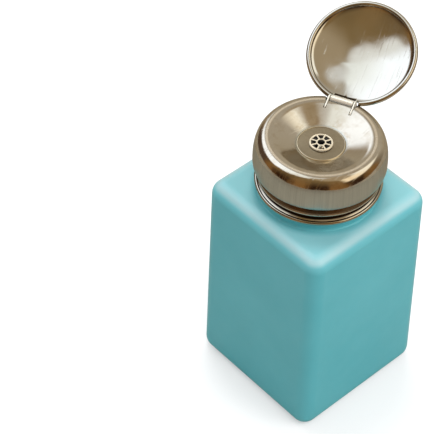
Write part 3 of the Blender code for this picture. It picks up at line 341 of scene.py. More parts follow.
def rounded_block(name, base_width, top_width, low, high, radius, segments):
    """A square block, wider at its base, with every edge rounded."""
    half = base_width / 2
    obj = block(name, (-half, -half, low), (half, half, high))
    for vertex in obj.data.vertices:
        if vertex.co.z > (low + high) / 2 * MM:
            vertex.co.x *= top_width / base_width
            vertex.co.y *= top_width / base_width
    rounding = obj.modifiers.new("edges", "BEVEL")
    rounding.width, rounding.segments = radius * MM, segments
    return applied(obj)


def tube(name, points, radii):
    """A round solid along the points, whose radius may change."""
    curve = bpy.data.curves.new(name, "CURVE")
    curve.dimensions, curve.bevel_depth, curve.bevel_resolution = "3D", MM, 4
    curve.use_fill_caps = True
    spline = curve.splines.new("POLY")
    spline.points.add(len(points) - 1)
    for point, place, radius in zip(spline.points, points, radii):
        point.co = (*(value * MM for value in place), 1)
        point.radius = radius
    return applied(new_piece(name, curve))


def finish(obj, body, nodes, materials, place=Matrix()):
    """Puts the piece's mesh in place, smooths it and makes the piece stand for the CAD nodes."""
    mesh = obj.data
    mesh.transform(place)
    mesh.shade_smooth()
    mesh.set_sharp_from_angle(angle=math.radians(SHARP_DEGREES))
    even = obj.modifiers.new("even_shading", "WEIGHTED_NORMAL")
    even.keep_sharp, even.weight = True, 100
    for material in materials:
        mesh.materials.append(material)
    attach(obj, body)
    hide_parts(*nodes)


def inner_width(height):
    return BASE_WIDTH - (BASE_WIDTH - TOP_WIDTH) / SHOULDER * height - 2 * WALL


def mark_height(millilitres):
    """How high this much liquid stands in the bottle. One millilitre is 1000 cubic millimetres."""
    volume = millilitres * 1000
    depth = volume / inner_width(FLOOR) ** 2
    return FLOOR + volume / inner_width(FLOOR + depth / 2) ** 2


def side_place(x, height):
    """Stands a plate up on the bottle's +Y side, with its front outwards and its right towards -X."""
    lean = math.atan2((BASE_WIDTH - TOP_WIDTH) / 2, SHOULDER)
    out = BASE_WIDTH / 2 - height * math.tan(lean)
    return (Matrix.Translation((x * MM, out * MM, height * MM))
            @ Matrix.Rotation(math.pi, 4, "Z") @ Matrix.Rotation(math.pi / 2 - lean, 4, "X"))


def raised_number(value):
    text = bpy.data.curves.new("number_%d" % value, "FONT")
    text.body, text.size, text.align_y = str(value), NUMBER_SIZE * MM, "CENTER"
    text.extrude, text.bevel_depth = MARK_PROUD * MM * NUMBER_DEPTH, NUMBER_EDGE * MM
    text.resolution_u, text.offset = 3, NUMBER_EDGE * MM
    return applied(new_piece("number_%d" % value, text))


def scale_marks():
    """The moulded scale: one line with a mark every 10 ml, and a number at every 50 ml."""
    half = MARK_LINE / 2
    outline, numbers = [], []
    for mark in range(10, 201, 10):
        height = mark_height(mark)
        numbered = mark % 50 == 0
        length = MARK_LONG if numbered else MARK_SHORT
        outline += [(half, height - half), (half + length, height - half),
                    (half + length, height + half), (half, height + half)]
        if numbered:
            number = raised_number(mark)
            number.data.transform(side_place(-half - MARK_LONG - NUMBER_GAP, height))
            numbers.append(number)
    outline[0], outline[-1] = (-half, outline[0][1]), (-half, outline[-1][1])
    line = plate("scale", [outline], LINE_DEPTH * MARK_PROUD, MARK_EDGE, side_place(0, 0))
    return [line, *numbers]


def bottle_neck():
    """The neck's stepped solid, and the ridge of its thread, which fades out at both ends."""
    root = SHOULDER - WALL / 2
    flare = (STEP_R + FLARE, SHOULDER + FLARE - FLARE_SINK)
    neck = revolve("neck", [
        (0, root), (flare[0], root), *arc(flare, FLARE, 270, 180, 8),
        *arc((STEP_R - STEP_ROUND, STEP_TOP - STEP_ROUND), STEP_ROUND, 0, 90, 4),
        *arc((NECK_R + NECK_ROUND, STEP_TOP + NECK_ROUND), NECK_ROUND, 270, 180, 4),
        *arc((NECK_R - NECK_ROUND, NECK_TOP - NECK_ROUND), NECK_ROUND, 0, 90, 4), (0, NECK_TOP)],
        closed=False)
    spiral = helix(THREAD_R, THREAD_LOW, THREAD_PITCH * THREAD_TURNS, THREAD_TURNS, THREAD_STEPS)
    last = len(spiral) - 1
    shares = [min(1.0, THREAD_END + (1 - THREAD_END) * min(i, last - i) / THREAD_FADE)
              for i in range(last + 1)]
    return [neck, tube("neck_thread", spiral, [THREAD_RIDGE_R * share for share in shares])]


def bottle_hollows():
    """The cutters for the inside, the neck's bore and the two recesses beside the base's rib."""
    roof = SHOULDER - WALL
    inside = rounded_block("inside", inner_width(FLOOR), inner_width(roof), FLOOR, roof,
                           EDGE_RADIUS - WALL, INNER_SEGMENTS)
    bore_low, bore_high = SHOULDER - 2 * WALL, NECK_TOP + OVER
    bore = revolve("bore", [(0, bore_low), (NECK_BORE_R, bore_low),
                            (NECK_BORE_R, bore_high), (0, bore_high)], closed=False)
    recesses = []
    near_rib = RIB_WIDTH / math.sqrt(2) - RIM_REACH
    for side in (1, -1):
        corners = [(side * RIM_REACH, side * near_rib), (side * RIM_REACH, side * RIM_REACH),
                   (side * near_rib, side * RIM_REACH)]
        recesses.append(plate("recess", [rounded_corners(corners, RECESS_CORNER)], 2 * RECESS, RECESS_EDGE))
    return [inside, bore, *recesses]


def make_bottle(material):
    bottle = rounded_block("bottle_body", BASE_WIDTH, TOP_WIDTH, 0, SHOULDER, EDGE_RADIUS, EDGE_SEGMENTS)
    bottle = combined(bottle, bottle_neck(), "UNION")
    bottle = combined(bottle, bottle_hollows(), "DIFFERENCE")
    bottle = combined(bottle, scale_marks(), "UNION")
    finish(bottle, "bottle", ["bottle"], [material])


def make_collar(material):
    """The collar's wall leans in above the bead, as the photograph's reflections show."""
    collar = revolve("collar_shell", [
        (COLLAR_MOUTH_R, COLLAR_TOP), *arc(COLLAR_EDGE, COLLAR_EDGE_R, 90, 22, 10), COLLAR_WALL_FOOT,
        *arc(BEAD, BEAD_R, 40, -80, 18), *GROOVE, *arc(FLANGE, FLANGE_R, 120, -90, 22), *COLLAR_INSIDE])
    finish(collar, "cap", ["collar"], [material])


def dish_z(radius):
    """The dish's upper face: a cone outwards from its floor, rounded off as it comes up to the crest."""
    slope = (CREST_Z - DISH_Z) / ((BEND_R + CREST_R) / 2 - DISH_R)
    if radius < BEND_R:
        return DISH_Z + slope * (radius - DISH_R)
    return CREST_Z - slope * (CREST_R - radius) ** 2 / (2 * (CREST_R - BEND_R))


def shell_outline():
    """The head's outer face from the dish's hole out to the skirt's lower edge."""
    outline = [(SHELL_HOLE_R, SEAT_Z), (SEAT_LOOP_R, SEAT_Z), (SEAT_R, SEAT_Z)]
    for radius in even_steps(DISH_R, BEND_R, CONE_STEPS) + even_steps(BEND_R, CREST_R, BEND_STEPS):
        outline.append((radius, dish_z(radius)))
    for i in range(SHOULDER_STEPS + 1):
        angle = math.pi / 2 * (1 - i / SHOULDER_STEPS)
        outline.append((CREST_R + SHOULDER_OUT * max(math.cos(angle), 0) ** (2 / SHOULDER_POWER),
                        WAIST_Z + (CREST_Z - WAIST_Z) * math.sin(angle) ** (2 / SHOULDER_POWER)))
    return outline + [*SKIRT, (SKIRT_LOW_R + SKIRT_CHAMFER, SKIRT_Z + SKIRT_CHAMFER), (SKIRT_LOW_R, SKIRT_Z)]


def make_head_shell(material):
    """The head's cover, with a notch for the lid's barrel and a slit for each ear."""
    outer = shell_outline()
    shell = revolve("head_cover", outer + inner_face(outer, SHELL_WALL))
    wide, flare_y = NOTCH_HALF + NOTCH_FLARE, PIN_Y + BARREL_R
    outline = [(-NOTCH_HALF, NOTCH_Y), (NOTCH_HALF, NOTCH_Y), (wide, flare_y), (wide, NOTCH_OUT_Y),
               (-wide, NOTCH_OUT_Y), (-wide, flare_y)]
    height = CREST_Z + OVER - NOTCH_Z
    cutters = [plate("notch", [outline], height,
                     place=Matrix.Translation((0, 0, (NOTCH_Z + height / 2) * MM)))]
    for side in (-1, 1):
        left, right = sorted((side * (EAR_IN - SLIT_GAP), side * (EAR_OUT + SLIT_GAP)))
        cutters.append(block("slit", (left, PIN_Y - EAR_REACH - SLIT_GAP, DISH_Z),
                             (right, NOTCH_Y + SLIT_OVERLAP, CREST_Z + OVER)))
    shell = combined(shell, cutters, "DIFFERENCE")
    finish(shell, "head", ["head_shell"], [material], HEAD_TURN)


def make_centre(satin, pale):
    """The middle of the dish: the disc with its ridge, the nozzle's ring and its perforated plate."""
    disc = revolve("dish_disc", [
        (SHELL_HOLE_R, DISC_Z), (DISC_FLAT_R, DISC_Z), *arc((RIDGE_AT_R, DISC_Z), RIDGE_R, 170, 10, 10),
        (DISC_OUT_R, DISC_Z - DISC_DROP), (DISC_LOW_R, SEAT_Z + DISC_LIFT),
        (SHELL_HOLE_R, SEAT_Z + DISC_LIFT)])
    finish(disc, "head", ["centre_disc"], [satin], HEAD_TURN)
    rim = revolve("nozzle_rim", [
        (RIM_IN_R, RIM_LOW_Z), (RIM_IN_R, RIM_ROUND[1]), *arc(RIM_ROUND, RIM_ROUND_R, 180, 35, 12),
        *RIM_OUTSIDE])
    finish(rim, "head", ["nozzle_ring"], [pale], HEAD_TURN)
    outlines = [arc((0, 0), ROSETTE_R, 0, 355, 72), arc((0, 0), ROSETTE_HOLE_R, 355, 0, 72)]
    for i in range(PETALS):
        turn = Matrix.Rotation(2 * math.pi * (i + 0.5) / PETALS, 2)
        outlines.append([tuple(turn @ Vector(p)) for p in rounded_corners(PETAL, PETAL_CORNER)])
    rosette = plate("rosette_plate", outlines, ROSETTE_THICK, ROSETTE_EDGE,
                    Matrix.Translation((0, 0, ROSETTE_Z * MM)))
    finish(rosette, "head", ["nozzle_rosette"], [pale], HEAD_TURN)


def pin_bore(place):
    """A cutter for the hinge pin's bore, laid in place."""
    bore = revolve("bore", [(0, PIN_BORE_HALF), (PIN_BORE_R, PIN_BORE_HALF),
                            (PIN_BORE_R, -PIN_BORE_HALF), (0, -PIN_BORE_HALF)], SMALL_STEPS, closed=False)
    bore.data.transform(place)
    return bore


def make_hinge(material):
    """The bracket, whose ears stand up through the dish from a bridge under it, and the riveted pin."""
    inner_y = PIN_Y - EAR_REACH
    bridge_top = dish_z(inner_y) - SHELL_WALL - BRIDGE_GAP
    bottom = bridge_top - BRIDGE_THICK - PIN_Z
    crown = PIN_Z - dish_z(inner_y)
    outline = [*arc((0, 0), EAR_R, -95, 128, 24), (-EAR_REACH + 1.0, 0.0),
               (-EAR_REACH + 0.35, -crown + 0.45), (-EAR_REACH + 0.08, -crown + 0.15),
               (-EAR_REACH, -crown - 0.2), (-EAR_REACH, bottom), (-EAR_REACH + EAR_FOOT, bottom)]
    bracket = block("hinge_ears", (-EAR_OUT, inner_y, bridge_top - BRIDGE_THICK),
                    (EAR_OUT, inner_y + EAR_FOOT, bridge_top))
    ears = []
    for side in (-1, 1):
        middle = Matrix.Translation((side * (EAR_IN + EAR_OUT) / 2 * MM, 0, 0))
        ears.append(plate("ear", [outline], EAR_OUT - EAR_IN - EAR_SLACK, EAR_EDGE,
                          PIN_PLACE @ middle @ ALONG_X))
    bracket = combined(bracket, ears, "UNION")
    bracket = combined(bracket, [pin_bore(PIN_PLACE @ Z_TO_X)], "DIFFERENCE")
    finish(bracket, "head", ["hinge_bracket"], [material], HEAD_TURN)
    pin = revolve("hinge_rivet", PIN_HEAD + [(r, -z) for r, z in reversed(PIN_HEAD)], SMALL_STEPS,
                  closed=False)
    finish(pin, "head", ["hinge_pin"], [material], HEAD_TURN @ PIN_PLACE @ Z_TO_X)


def dome_z(radius, top):
    """How high the lid's dome is over the middle of its rim, for a dome with this top."""
    middle = LID_R - ROLL_R
    sag = LID_RISE - ROLL_R * math.cos(ROLL_MEETS_DOME)
    dome_r = (middle ** 2 + sag ** 2) / (2 * sag)
    return top - dome_r + math.sqrt(dome_r ** 2 - radius ** 2)


def lid_outline():
    """The closed lid from its top down round the rolled rim and back up under the dome."""
    middle = LID_R - ROLL_R
    outer = [(r, dome_z(r, LID_RISE)) for r in even_steps(0, middle * DOME_REACH, DOME_STEPS)]
    inner = [(r, dome_z(r, LID_RISE - LID_WALL)) for r in even_steps(0, middle - ROLL_R / 2, DOME_STEPS)]
    return outer + arc((middle, 0), ROLL_R, 110, -190, ROLL_STEPS) + inner[::-1]


def make_lid(material, barrel_material):
    """The lid, with a leaf from its rim round the barrel. The barrel and the leaf take the hinge's paler,
    less metallic steel, whose paleness is a painted reflection.
    """
    lid = revolve("lid_cover", lid_outline(), closed=False)
    lid.data.transform(Matrix.Translation((0, -PIN_Y * MM, RIM_RISE * MM)))
    lid = combined(lid, [block("lid_notch", LID_NOTCH_LOW, LID_NOTCH_HIGH)], "DIFFERENCE")
    rise = RIM_RISE + dome_z(PIN_Y - LEAF_REACH, LID_RISE)
    leaf = plate("leaf", [[
        (0.2, BARREL_R), (-0.8, BARREL_R + 0.12), (-1.9, 2.0), (-LEAF_REACH, rise - 0.15),
        (-LEAF_REACH, rise - 0.45), (-1.9, 1.45), (-BARREL_R, 0.3)]], 2 * BARREL_HALF, LEAF_EDGE, ALONG_X)
    edge_r, edge_z = BARREL_R - BARREL_EDGE, BARREL_HALF - BARREL_EDGE
    barrel = revolve("barrel", [
        (PIN_BORE_R, BARREL_HALF), *arc((edge_r, edge_z), BARREL_EDGE, 90, 0, 4),
        *arc((edge_r, -edge_z), BARREL_EDGE, 0, -90, 4), (PIN_BORE_R, -BARREL_HALF)], SMALL_STEPS)
    barrel.data.transform(Z_TO_X)
    leaf = combined(leaf, [pin_bore(Z_TO_X)], "DIFFERENCE")
    lid = combined(lid, [leaf, barrel], "UNION")
    for face in lid.data.polygons:
        from_pin = math.hypot(face.center.y, face.center.z)
        face.material_index = int(from_pin < LEAF_REACH * MM and abs(face.center.x) < EAR_IN * MM)
    finish(lid, "lid", ["lid"], [material, barrel_material], LID_PLACE)


def make_spring(material):
    """The return spring, a coiled wire wound to fill the box of the CAD spring."""
    low, high = (Vector(corner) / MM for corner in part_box("return_spring"))
    points = helix((high.y - low.y) / 2 - SPRING_WIRE_R, low.z + SPRING_WIRE_R,
                   high.z - low.z - 2 * SPRING_WIRE_R, SPRING_TURNS, SPRING_STEPS)
    spring = tube("spring_wire", points, [SPRING_WIRE_R] * len(points))
    finish(spring, "spring_stage", ["return_spring"], [material])
    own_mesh(spring)


class Shader:
    """A material and its Principled shader. An input is a number, a colour or a node's output."""

    def __init__(self, name, roughness, metallic=0.0):
        self.material = bpy.data.materials.new(name)
        self.material.use_nodes = True
        self.tree = self.material.node_tree
        self.principled = self.tree.nodes["Principled BSDF"]
        self.set(Roughness=roughness, Metallic=metallic)

    def set(self, **values):
        for name, value in values.items():
            feed(self.tree, self.principled.inputs[name.replace("_", " ")], value)


def feed(tree, socket, value):
    if isinstance(value, bpy.types.NodeSocket):
        tree.links.new(value, socket)
    elif value is not None:
        socket.default_value = value


def add_node(tree, kind, *values, **settings):
    """A node with its inputs fed in order and its settings set, given by its first output."""
    made = tree.nodes.new("ShaderNode" + kind)
    for name, value in settings.items():
        setattr(made, name, value)
    sockets = [s for s in made.inputs if s.enabled]
    for socket, value in zip(sockets, values):
        feed(tree, socket, value)
    return next(s for s in made.outputs if s.enabled)


def maths(tree, operation, *values):
    return add_node(tree, "Math", *values, operation=operation)


def noise(tree, place, scale, detail=3.0, roughness=0.5):
    made = tree.nodes.new("ShaderNodeTexNoise")
    feed(tree, made.inputs["Vector"], place)
    for name, value in (("Scale", scale), ("Detail", detail), ("Roughness", roughness)):
        made.inputs[name].default_value = value
    return made.outputs["Fac"]


def spread(tree, value, low_in, high_in, low=0.0, high=1.0):
    """The value carried from one range to another and kept inside it."""
    return add_node(tree, "MapRange", value, low_in, high_in, low, high, clamp=True)


def within(tree, value, low, high, soft):
    """One between low and high and zero outside them, with soft ends."""
    return maths(tree, "MULTIPLY", spread(tree, value, low - soft, low + soft),
                 spread(tree, value, high - soft, high + soft, 1.0, 0.0))


def blend(tree, share, first, second):
    """The first colour where the share is zero, and the second where it is one."""
    made = tree.nodes.new("ShaderNodeMix")
    made.data_type = "RGBA"
    feed(tree, made.inputs["Factor"], share)
    for socket, colour in ((made.inputs[6], first), (made.inputs[7], second)):
        feed(tree, socket, (*colour, 1) if isinstance(colour, tuple) else colour)
    return made.outputs[2]


def bump(tree, height, strength, distance, normal=None):
    made = tree.nodes.new("ShaderNodeBump")
    for name, value in (("Strength", strength), ("Distance", distance), ("Height", height),
                        ("Normal", normal)):
        feed(tree, made.inputs[name], value)
    return made.outputs["Normal"]


def own_place(tree, axes=None):
    """The piece's coordinates, or those of its own axes, given by where they lie in the model's frame."""
    place = tree.nodes.new("ShaderNodeTexCoord").outputs["Object"]
    if axes is None:
        return place
    made = tree.nodes.new("ShaderNodeMapping")
    made.vector_type = "TEXTURE"
    feed(tree, made.inputs["Vector"], place)
    made.inputs["Location"].default_value = axes.to_translation()
    made.inputs["Rotation"].default_value = axes.to_euler()
    return made.outputs["Vector"]


def split_place(tree, place):
    """The place's X, Y and Z, and its distance from the Z axis."""
    split = tree.nodes.new("ShaderNodeSeparateXYZ")
    feed(tree, split.inputs[0], place)
    x, y, z = split.outputs
    square = maths(tree, "ADD", maths(tree, "MULTIPLY", x, x), maths(tree, "MULTIPLY", y, y))
    return x, y, z, maths(tree, "POWER", square, 0.5)


def polar_place(tree, place, around, across, along):
    """Coordinates round the Z axis: angle, radius and height, each with its own scale."""
    x, y, z, radius = split_place(tree, place)
    angle = maths(tree, "ARCTAN2", y, x)
    return add_node(tree, "CombineXYZ", maths(tree, "MULTIPLY", angle, around),
                    maths(tree, "MULTIPLY", radius, across), maths(tree, "MULTIPLY", z, along))


def plastic(name, colours, roughness, grain=0.15):
    """Moulded plastic: a slow drift of colour, an uneven sheen and a fine skin."""
    shader = Shader(name, roughness)
    tree = shader.tree
    shader.place = place = own_place(tree)
    drift = noise(tree, place, scale=45.0, detail=3.0, roughness=0.55)
    specks = noise(tree, place, scale=900.0, detail=2.0, roughness=0.6)
    sheen = noise(tree, place, scale=160.0, detail=4.0, roughness=0.6)
    skin = bump(tree, specks, strength=grain, distance=0.00004)
    shader.colour = blend(tree, spread(tree, drift, 0.3, 0.7), *colours)
    shader.set(Base_Color=shader.colour,
               Roughness=spread(tree, sheen, 0.3, 0.7, roughness - 0.05, roughness + 0.06),
               Normal=bump(tree, noise(tree, place, scale=60.0, detail=2.0), 0.25, 0.00035, skin))
    return shader


def bottle_plastic():
    """The bottle's plastic lets some light in. Its paler top is painted sheen, the paler band along its top
    edges is a painted highlight, and the darker ring round the neck is a painted shadow from the collar.
    """
    shader = plastic("teal_plastic", TEAL, roughness=0.34, grain=0.1)
    tree = shader.tree
    _, _, height, radius = split_place(tree, shader.place)
    # Painted sheen: the top grows paler towards the shoulder
    shoulder = spread(tree, height, (SHOULDER - EDGE_RADIUS) * MM, SHOULDER * MM)
    # Painted highlight: a paler band along the rounded top edges
    rounding = within(tree, height, ROUNDING_LOW, ROUNDING_HIGH, soft=0.0006)
    # Painted shadow: a darker ring on the top round the neck, under the collar
    painted_neck_shadow = maths(tree, "MULTIPLY", shoulder,
                        spread(tree, radius, NECK_SHADE_IN, NECK_SHADE_OUT, NECK_SHADE, 0.0))
    colour = blend(tree, shoulder, shader.colour, TOP_PAINTED_SHEEN)
    colour = blend(tree, rounding, colour, EDGE_PAINTED_HIGHLIGHT)
    shader.set(Base_Color=blend(tree, painted_neck_shadow, colour, NECK_SHADOW_COLOUR),
               Subsurface_Weight=0.12, Subsurface_Scale=0.0015, Subsurface_Radius=(0.4, 1.0, 1.1))
    return shader.material


def rubber_material():
    shader = Shader("black_rubber", 0.65)
    tree = shader.tree
    place = own_place(tree)
    shader.set(Base_Color=blend(tree, noise(tree, place, scale=200.0), *RUBBER),
               Roughness=spread(tree, noise(tree, place, scale=500.0), 0.3, 0.7, 0.55, 0.75),
               Normal=bump(tree, noise(tree, place, scale=1500.0), strength=0.2, distance=0.00005))
    return shader.material


def scratches(tree, place):
    """A few fine straight scratches in two directions, only here and there."""
    found = None
    for turn in (0.6, 2.1):
        drawn = tree.nodes.new("ShaderNodeMapping")
        drawn.inputs["Rotation"].default_value = (0.3, 0.2, turn)
        drawn.inputs["Scale"].default_value = (2600.0, 60.0, 60.0)
        feed(tree, drawn.inputs["Vector"], place)
        lines = spread(tree, noise(tree, drawn.outputs["Vector"], scale=1.0, detail=1.0), 0.67, 0.73)
        found = lines if found is None else maths(tree, "MAXIMUM", found, lines)
    patches = spread(tree, noise(tree, place, scale=90.0, detail=2.0), 0.46, 0.56)
    return maths(tree, "MULTIPLY", found, patches)


def steel(name, colours, smooth, rough, streaks=(2.0, 900.0, 60.0), scratch=0.05, wave=0.1, axes=None,
          metallic=1.0):
    """Stainless steel with turned or drawn marks, a slow wave, a drift of tone and wiped smudges.

    Smooth and rough are the ends of its roughness. Streaks are how fine the marks are round the
    axis, outwards and along it. Scratch and wave are the strengths of the marks and the wave.
    """
    shader = Shader(name, smooth, metallic)
    tree = shader.tree
    shader.place = place = own_place(tree, axes)
    _, _, shader.height, shader.radius = split_place(tree, place)
    marks = noise(tree, polar_place(tree, place, *streaks), scale=1.0, detail=3.0, roughness=0.6)
    smudge = noise(tree, place, scale=150.0, detail=5.0, roughness=0.65)
    tone = noise(tree, place, scale=70.0, detail=2.0)
    slow = noise(tree, place, scale=110.0, detail=1.0, roughness=0.4)
    shader.colour = blend(tree, spread(tree, tone, 0.35, 0.65), *colours)
    shader.roughness = maths(tree, "ADD", spread(tree, smudge, 0.45, 0.7, smooth, rough),
                             spread(tree, marks, 0.3, 0.7, -0.02, 0.03))
    normal = bump(tree, marks, scratch, 0.00003, bump(tree, slow, wave, 0.0004))
    normal = bump(tree, scratches(tree, place), 0.5, 0.00003, normal)
    shader.set(Base_Color=shader.colour, Roughness=shader.roughness, Normal=normal,
               Specular_Tint=EDGE_TINT)
    return shader


def head_steel():
    """The head: a stained dish, a rougher crest with a painted highlight, and a satin skirt with fine upright
    marks.
    """
    shader = steel("head_steel", HEAD, smooth=0.09, rough=0.19, scratch=0.1)
    tree, place, height = shader.tree, shader.place, shader.height
    blotches = noise(tree, place, scale=210.0, detail=5.0, roughness=0.7)
    stain = maths(tree, "MULTIPLY", spread(tree, blotches, 0.5, 0.64, 0.0, 0.75),
                  spread(tree, height, DISH_Z * MM, (DISH_Z + 1.6) * MM, 1.0, 0.35))
    colour = blend(tree, stain, shader.colour, DISH_STAIN)
    # The crest is made rougher, and its paler colour is a painted highlight
    crest = within(tree, shader.radius, (CREST_R - 0.3) * MM, (CREST_R + 0.5) * MM, soft=0.00018)
    crest = maths(tree, "MULTIPLY", crest, spread(tree, height, CREST_LOW, CREST_HIGH))
    colour = blend(tree, crest, colour, CREST_PAINTED_HIGHLIGHT)
    roughness = maths(tree, "ADD", maths(tree, "MULTIPLY", crest, 0.16), shader.roughness)
    upright = polar_place(tree, place, around=60.0, across=0.0, along=25.0)
    marks = noise(tree, upright, scale=1.0, detail=4.0, roughness=0.7)
    skirt = spread(tree, height, (SATIN_TOP_Z - 0.2) * MM, (SATIN_TOP_Z + 0.2) * MM, 1.0, 0.0)
    skirt_tone = blend(tree, spread(tree, marks, 0.3, 0.7), *HEAD_SKIRT)
    shader.set(Base_Color=blend(tree, skirt, colour, skirt_tone),
               Roughness=maths(tree, "ADD", maths(tree, "MULTIPLY", skirt, 0.24), roughness))
    return shader.material


def disc_steel():
    """The centre disc: satin with turned marks and a fine grain, and a painted highlight on its ridge."""
    shader = steel("satin_steel", DISC, smooth=0.30, rough=0.38, streaks=(1.0, 2500.0, 60.0), scratch=0.2)
    tree = shader.tree
    fine = noise(tree, shader.place, scale=2200.0, detail=2.0, roughness=0.6)
    colour = blend(tree, spread(tree, fine, 0.35, 0.65, 0.0, 0.5), shader.colour, DISC_GRAIN)
    # Painted highlight: the ridge is painted paler
    ridge = spread(tree, shader.radius, (DISC_R - 0.1) * MM, DISC_R * MM)
    shader.set(Base_Color=blend(tree, ridge, colour, DISC_RIDGE_HIGHLIGHT))
    return shader.material


def collar_steel():
    """The collar: polished on its bead and flange, with painted shade on the leaning wall and in the groove,
    and a painted brown reflection low on the flange.
    """
    shader = steel("collar_steel", COLLAR, smooth=0.10, rough=0.18)
    tree, height = shader.tree, shader.height
    # Painted shade on the wall under the skirt and in the groove, and a painted brown reflection low on the
    # flange
    wall = spread(tree, height, COLLAR_WALL_LOW, COLLAR_WALL_HIGH)
    groove = within(tree, height, GROOVE_LOW, GROOVE_HIGH, soft=0.00012)
    flange = spread(tree, height, FLANGE_LOW, FLANGE_HIGH, 1.0, 0.0)
    colour = blend(tree, wall, shader.colour, COLLAR_WALL_PAINTED_SHADE)
    colour = blend(tree, groove, colour, COLLAR_GROOVE_PAINTED_SHADE)
    shader.set(Base_Color=blend(tree, flange, colour, COLLAR_FLANGE_PAINTED_REFLECTION))
    return shader.material


def ray_kinds(tree):
    """Whether the ray comes from the camera, and whether gloss or glass sends it on."""
    rays = tree.nodes.new("ShaderNodeLightPath").outputs
    return rays["Is Camera Ray"], maths(tree, "MAXIMUM", rays["Is Glossy Ray"], rays["Is Transmission Ray"])


def towards(tree, direction, heading, height):
    """The cosine of the angle between the direction and the one at this heading and height."""
    turn, tilt = math.radians(heading), math.radians(height)
    made = tree.nodes.new("ShaderNodeVectorMath")
    made.operation = "DOT_PRODUCT"
    tree.links.new(direction, made.inputs[0])
    made.inputs[1].default_value = (math.cos(tilt) * math.cos(turn), math.cos(tilt) * math.sin(turn),
                                    math.sin(tilt))
    return made.outputs["Value"]


def aside_from(tree, direction, heading):
    """Degrees round the upright from this heading, from -180 to 180."""
    angle = maths(tree, "ARCTAN2", towards(tree, direction, heading + 90, 0),
                  towards(tree, direction, heading, 0))
    return maths(tree, "DEGREES", angle)


def room_walls(tree, direction, up):
    """A near side with brown drapes, a paler far side, and a dark low corner."""
    stretched = tree.nodes.new("ShaderNodeMapping")
    stretched.inputs["Scale"].default_value = (1.0, 1.0, 0.25)
    tree.links.new(direction, stretched.inputs["Vector"])
    uneven = noise(tree, stretched.outputs["Vector"], scale=5.5, detail=4.0, roughness=0.6)
    aside = maths(tree, "RADIANS", aside_from(tree, direction, DRAPES_HEADING))
    drapes = maths(tree, "COSINE", maths(tree, "MULTIPLY", aside, DRAPES_COUNT))
    folds = maths(tree, "ADD", maths(tree, "MULTIPLY", drapes, DRAPES_WEIGHT), spread(tree, uneven, 0.3, 0.7))
    near_low = blend(tree, spread(tree, folds, 0.0, 1.1), *DRAPES)
    near = blend(tree, spread(tree, up, 5.0, 65.0), near_low, NEAR_HIGH)
    far = blend(tree, spread(tree, up, 0.0, 60.0), FAR_LOW, FAR_HIGH)
    far_side = within(tree, aside_from(tree, direction, FAR_HEADING), FAR_FROM, FAR_TO, FAR_SOFT)
    corner = within(tree, aside_from(tree, direction, CORNER_HEADING), CORNER_FROM, CORNER_TO, CORNER_SOFT)
    low_corner = maths(tree, "MULTIPLY", corner, spread(tree, up, 24.0, 32.0, 1.0, 0.0))
    return blend(tree, low_corner, blend(tree, far_side, near, far), CORNER)


def room_lights(tree, direction, up, room):
    """The room with its soft glows and its two windows."""
    for heading, height, full, gone, colour in GLOWS:
        glow = spread(tree, towards(tree, direction, heading, height),
                      math.cos(math.radians(gone)), math.cos(math.radians(full)))
        room = blend(tree, glow, room, colour)
    for heading, half, slant, sill, top, first, second in WINDOWS:
        aside = aside_from(tree, direction, heading)
        level = maths(tree, "SUBTRACT", up, maths(tree, "MULTIPLY", aside, slant))
        window = maths(tree, "MULTIPLY", within(tree, aside, -half, half, WINDOW_SIDE_SOFT),
                       within(tree, level, sill, top, WINDOW_LEVEL_SOFT))
        pane = blend(tree, spread(tree, aside, -half / 2, half / 2), first, second)
        pane = blend(tree, spread(tree, up, WINDOW_TOP_FROM, WINDOW_TOP_TO), pane, WINDOW_TOP)
        room = blend(tree, window, room, pane)
    return room


def make_world():
    """A plain studio: pale to the camera, and in reflections a warm room with two large soft windows."""
    world = bpy.data.worlds.new("studio")
    bpy.context.scene.world = world
    world.use_nodes = True
    tree = world.node_tree
    tree.nodes.clear()
    direction = tree.nodes.new("ShaderNodeTexCoord").outputs["Generated"]
    camera_ray, reflected = ray_kinds(tree)
    up = maths(tree, "DEGREES", maths(tree, "ARCSINE", towards(tree, direction, 0, 90)))
    room = room_lights(tree, direction, up, room_walls(tree, direction, up))
    lit = add_node(tree, "Background", blend(tree, reflected, AMBIENT, room), 1.0)
    seen = add_node(tree, "Background", PURE_WHITE, 1.0)
    out = tree.nodes.new("ShaderNodeOutputWorld")
    tree.links.new(add_node(tree, "MixShader", camera_ray, lit, seen), out.inputs["Surface"])


def make_floor():
    """A plain floor that the camera sees nearly white and that keeps the object's shadow."""
    mesh = bpy.data.meshes.new("floor")
    corners = [(x * FLOOR_HALF, y * FLOOR_HALF, -FLOOR_DROP) for x, y in ((-1, -1), (1, -1), (1, 1), (-1, 1))]
    mesh.from_pydata(corners, [], [(0, 1, 2, 3)])
    floor = new_piece("floor", mesh)
    material = bpy.data.materials.new("pale_floor")
    material.use_nodes = True
    tree = material.node_tree
    tree.nodes.clear()
    camera_ray, reflected = ray_kinds(tree)
    paint = add_node(tree, "BsdfDiffuse", blend(tree, reflected, FLOOR_SHADE, FLOOR_REFLECTED))
    lift = add_node(tree, "Emission", PURE_WHITE, maths(tree, "MULTIPLY", camera_ray, FLOOR_LIFT))
    out = tree.nodes.new("ShaderNodeOutputMaterial")
    tree.links.new(add_node(tree, "AddShader", paint, lift), out.inputs["Surface"])
    mesh.materials.append(material)


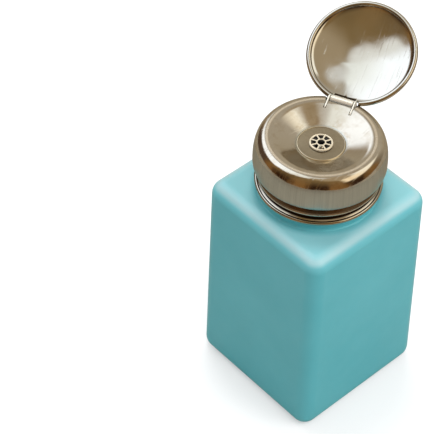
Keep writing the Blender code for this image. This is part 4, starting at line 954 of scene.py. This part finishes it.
def make_lamp(name, place, target, size, power):
    light = bpy.data.lights.new(name, "AREA")
    light.shape, light.size, light.energy = "DISK", size, power
    lamp = bpy.data.objects.new(name, light)
    bpy.context.scene.collection.objects.link(lamp)
    lamp.location = place
    lamp.visible_glossy = False
    lamp.rotation_euler = (Vector(target) - Vector(place)).to_track_quat("-Z", "Y").to_euler()


def make_camera():
    data = bpy.data.cameras.new("camera")
    data.sensor_width, data.lens = SENSOR, LENS
    camera = bpy.data.objects.new("camera", data)
    bpy.context.scene.collection.objects.link(camera)
    turn = Matrix((CAMERA_RIGHT, CAMERA_UP, CAMERA_BACK)).transposed().to_4x4()
    camera.matrix_world = Matrix.Translation(CAMERA_PLACE) @ turn
    bpy.context.scene.camera = camera


def dress_inside(material, names):
    """Gives these CAD nodes, which keep their shapes, the material."""
    for name in names:
        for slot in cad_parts[name].material_slots:
            slot.material = material


def main():
    polished = steel("polished_steel", POLISHED, smooth=0.09, rough=0.17).material
    lid = steel("lid_steel", LID, smooth=0.10, rough=0.17, streaks=(2.0, 500.0, 60.0),
                scratch=0.04, wave=0.32, axes=LID_PLACE).material
    # A paler, less metallic steel: its paleness is a painted reflection
    hinge = steel("hinge_steel", HINGE_PAINTED_REFLECTION, smooth=0.26, rough=0.36, metallic=0.55).material
    pale = steel("nozzle_steel", NOZZLE, smooth=0.24, rough=0.34, metallic=0.6).material

    make_bottle(bottle_plastic())
    make_collar(collar_steel())
    make_head_shell(head_steel())
    make_centre(disc_steel(), pale)
    make_hinge(hinge)
    make_lid(lid, hinge)
    make_spring(polished)
    dress_inside(plastic("white_plastic", WHITE, roughness=0.38).material,
                 ["thread_insert", "pump_cylinder", "guide_bush", "piston"])
    dress_inside(plastic("black_plastic", BLACK, roughness=0.4).material, ["head_hub"])
    dress_inside(plastic("natural_plastic", NATURAL, roughness=0.32).material, ["inlet_cage", "dip_tube"])
    dress_inside(rubber_material(), ["sealing_gasket", "piston_seal"])
    dress_inside(polished, ["inlet_ball", "outlet_ball", "spring_washer", "stem"])

    bpy.context.scene.view_settings.view_transform = "Standard"
    make_world()
    make_floor()
    for lamp in LAMPS:
        make_lamp(*lamp)
    make_camera()


main()
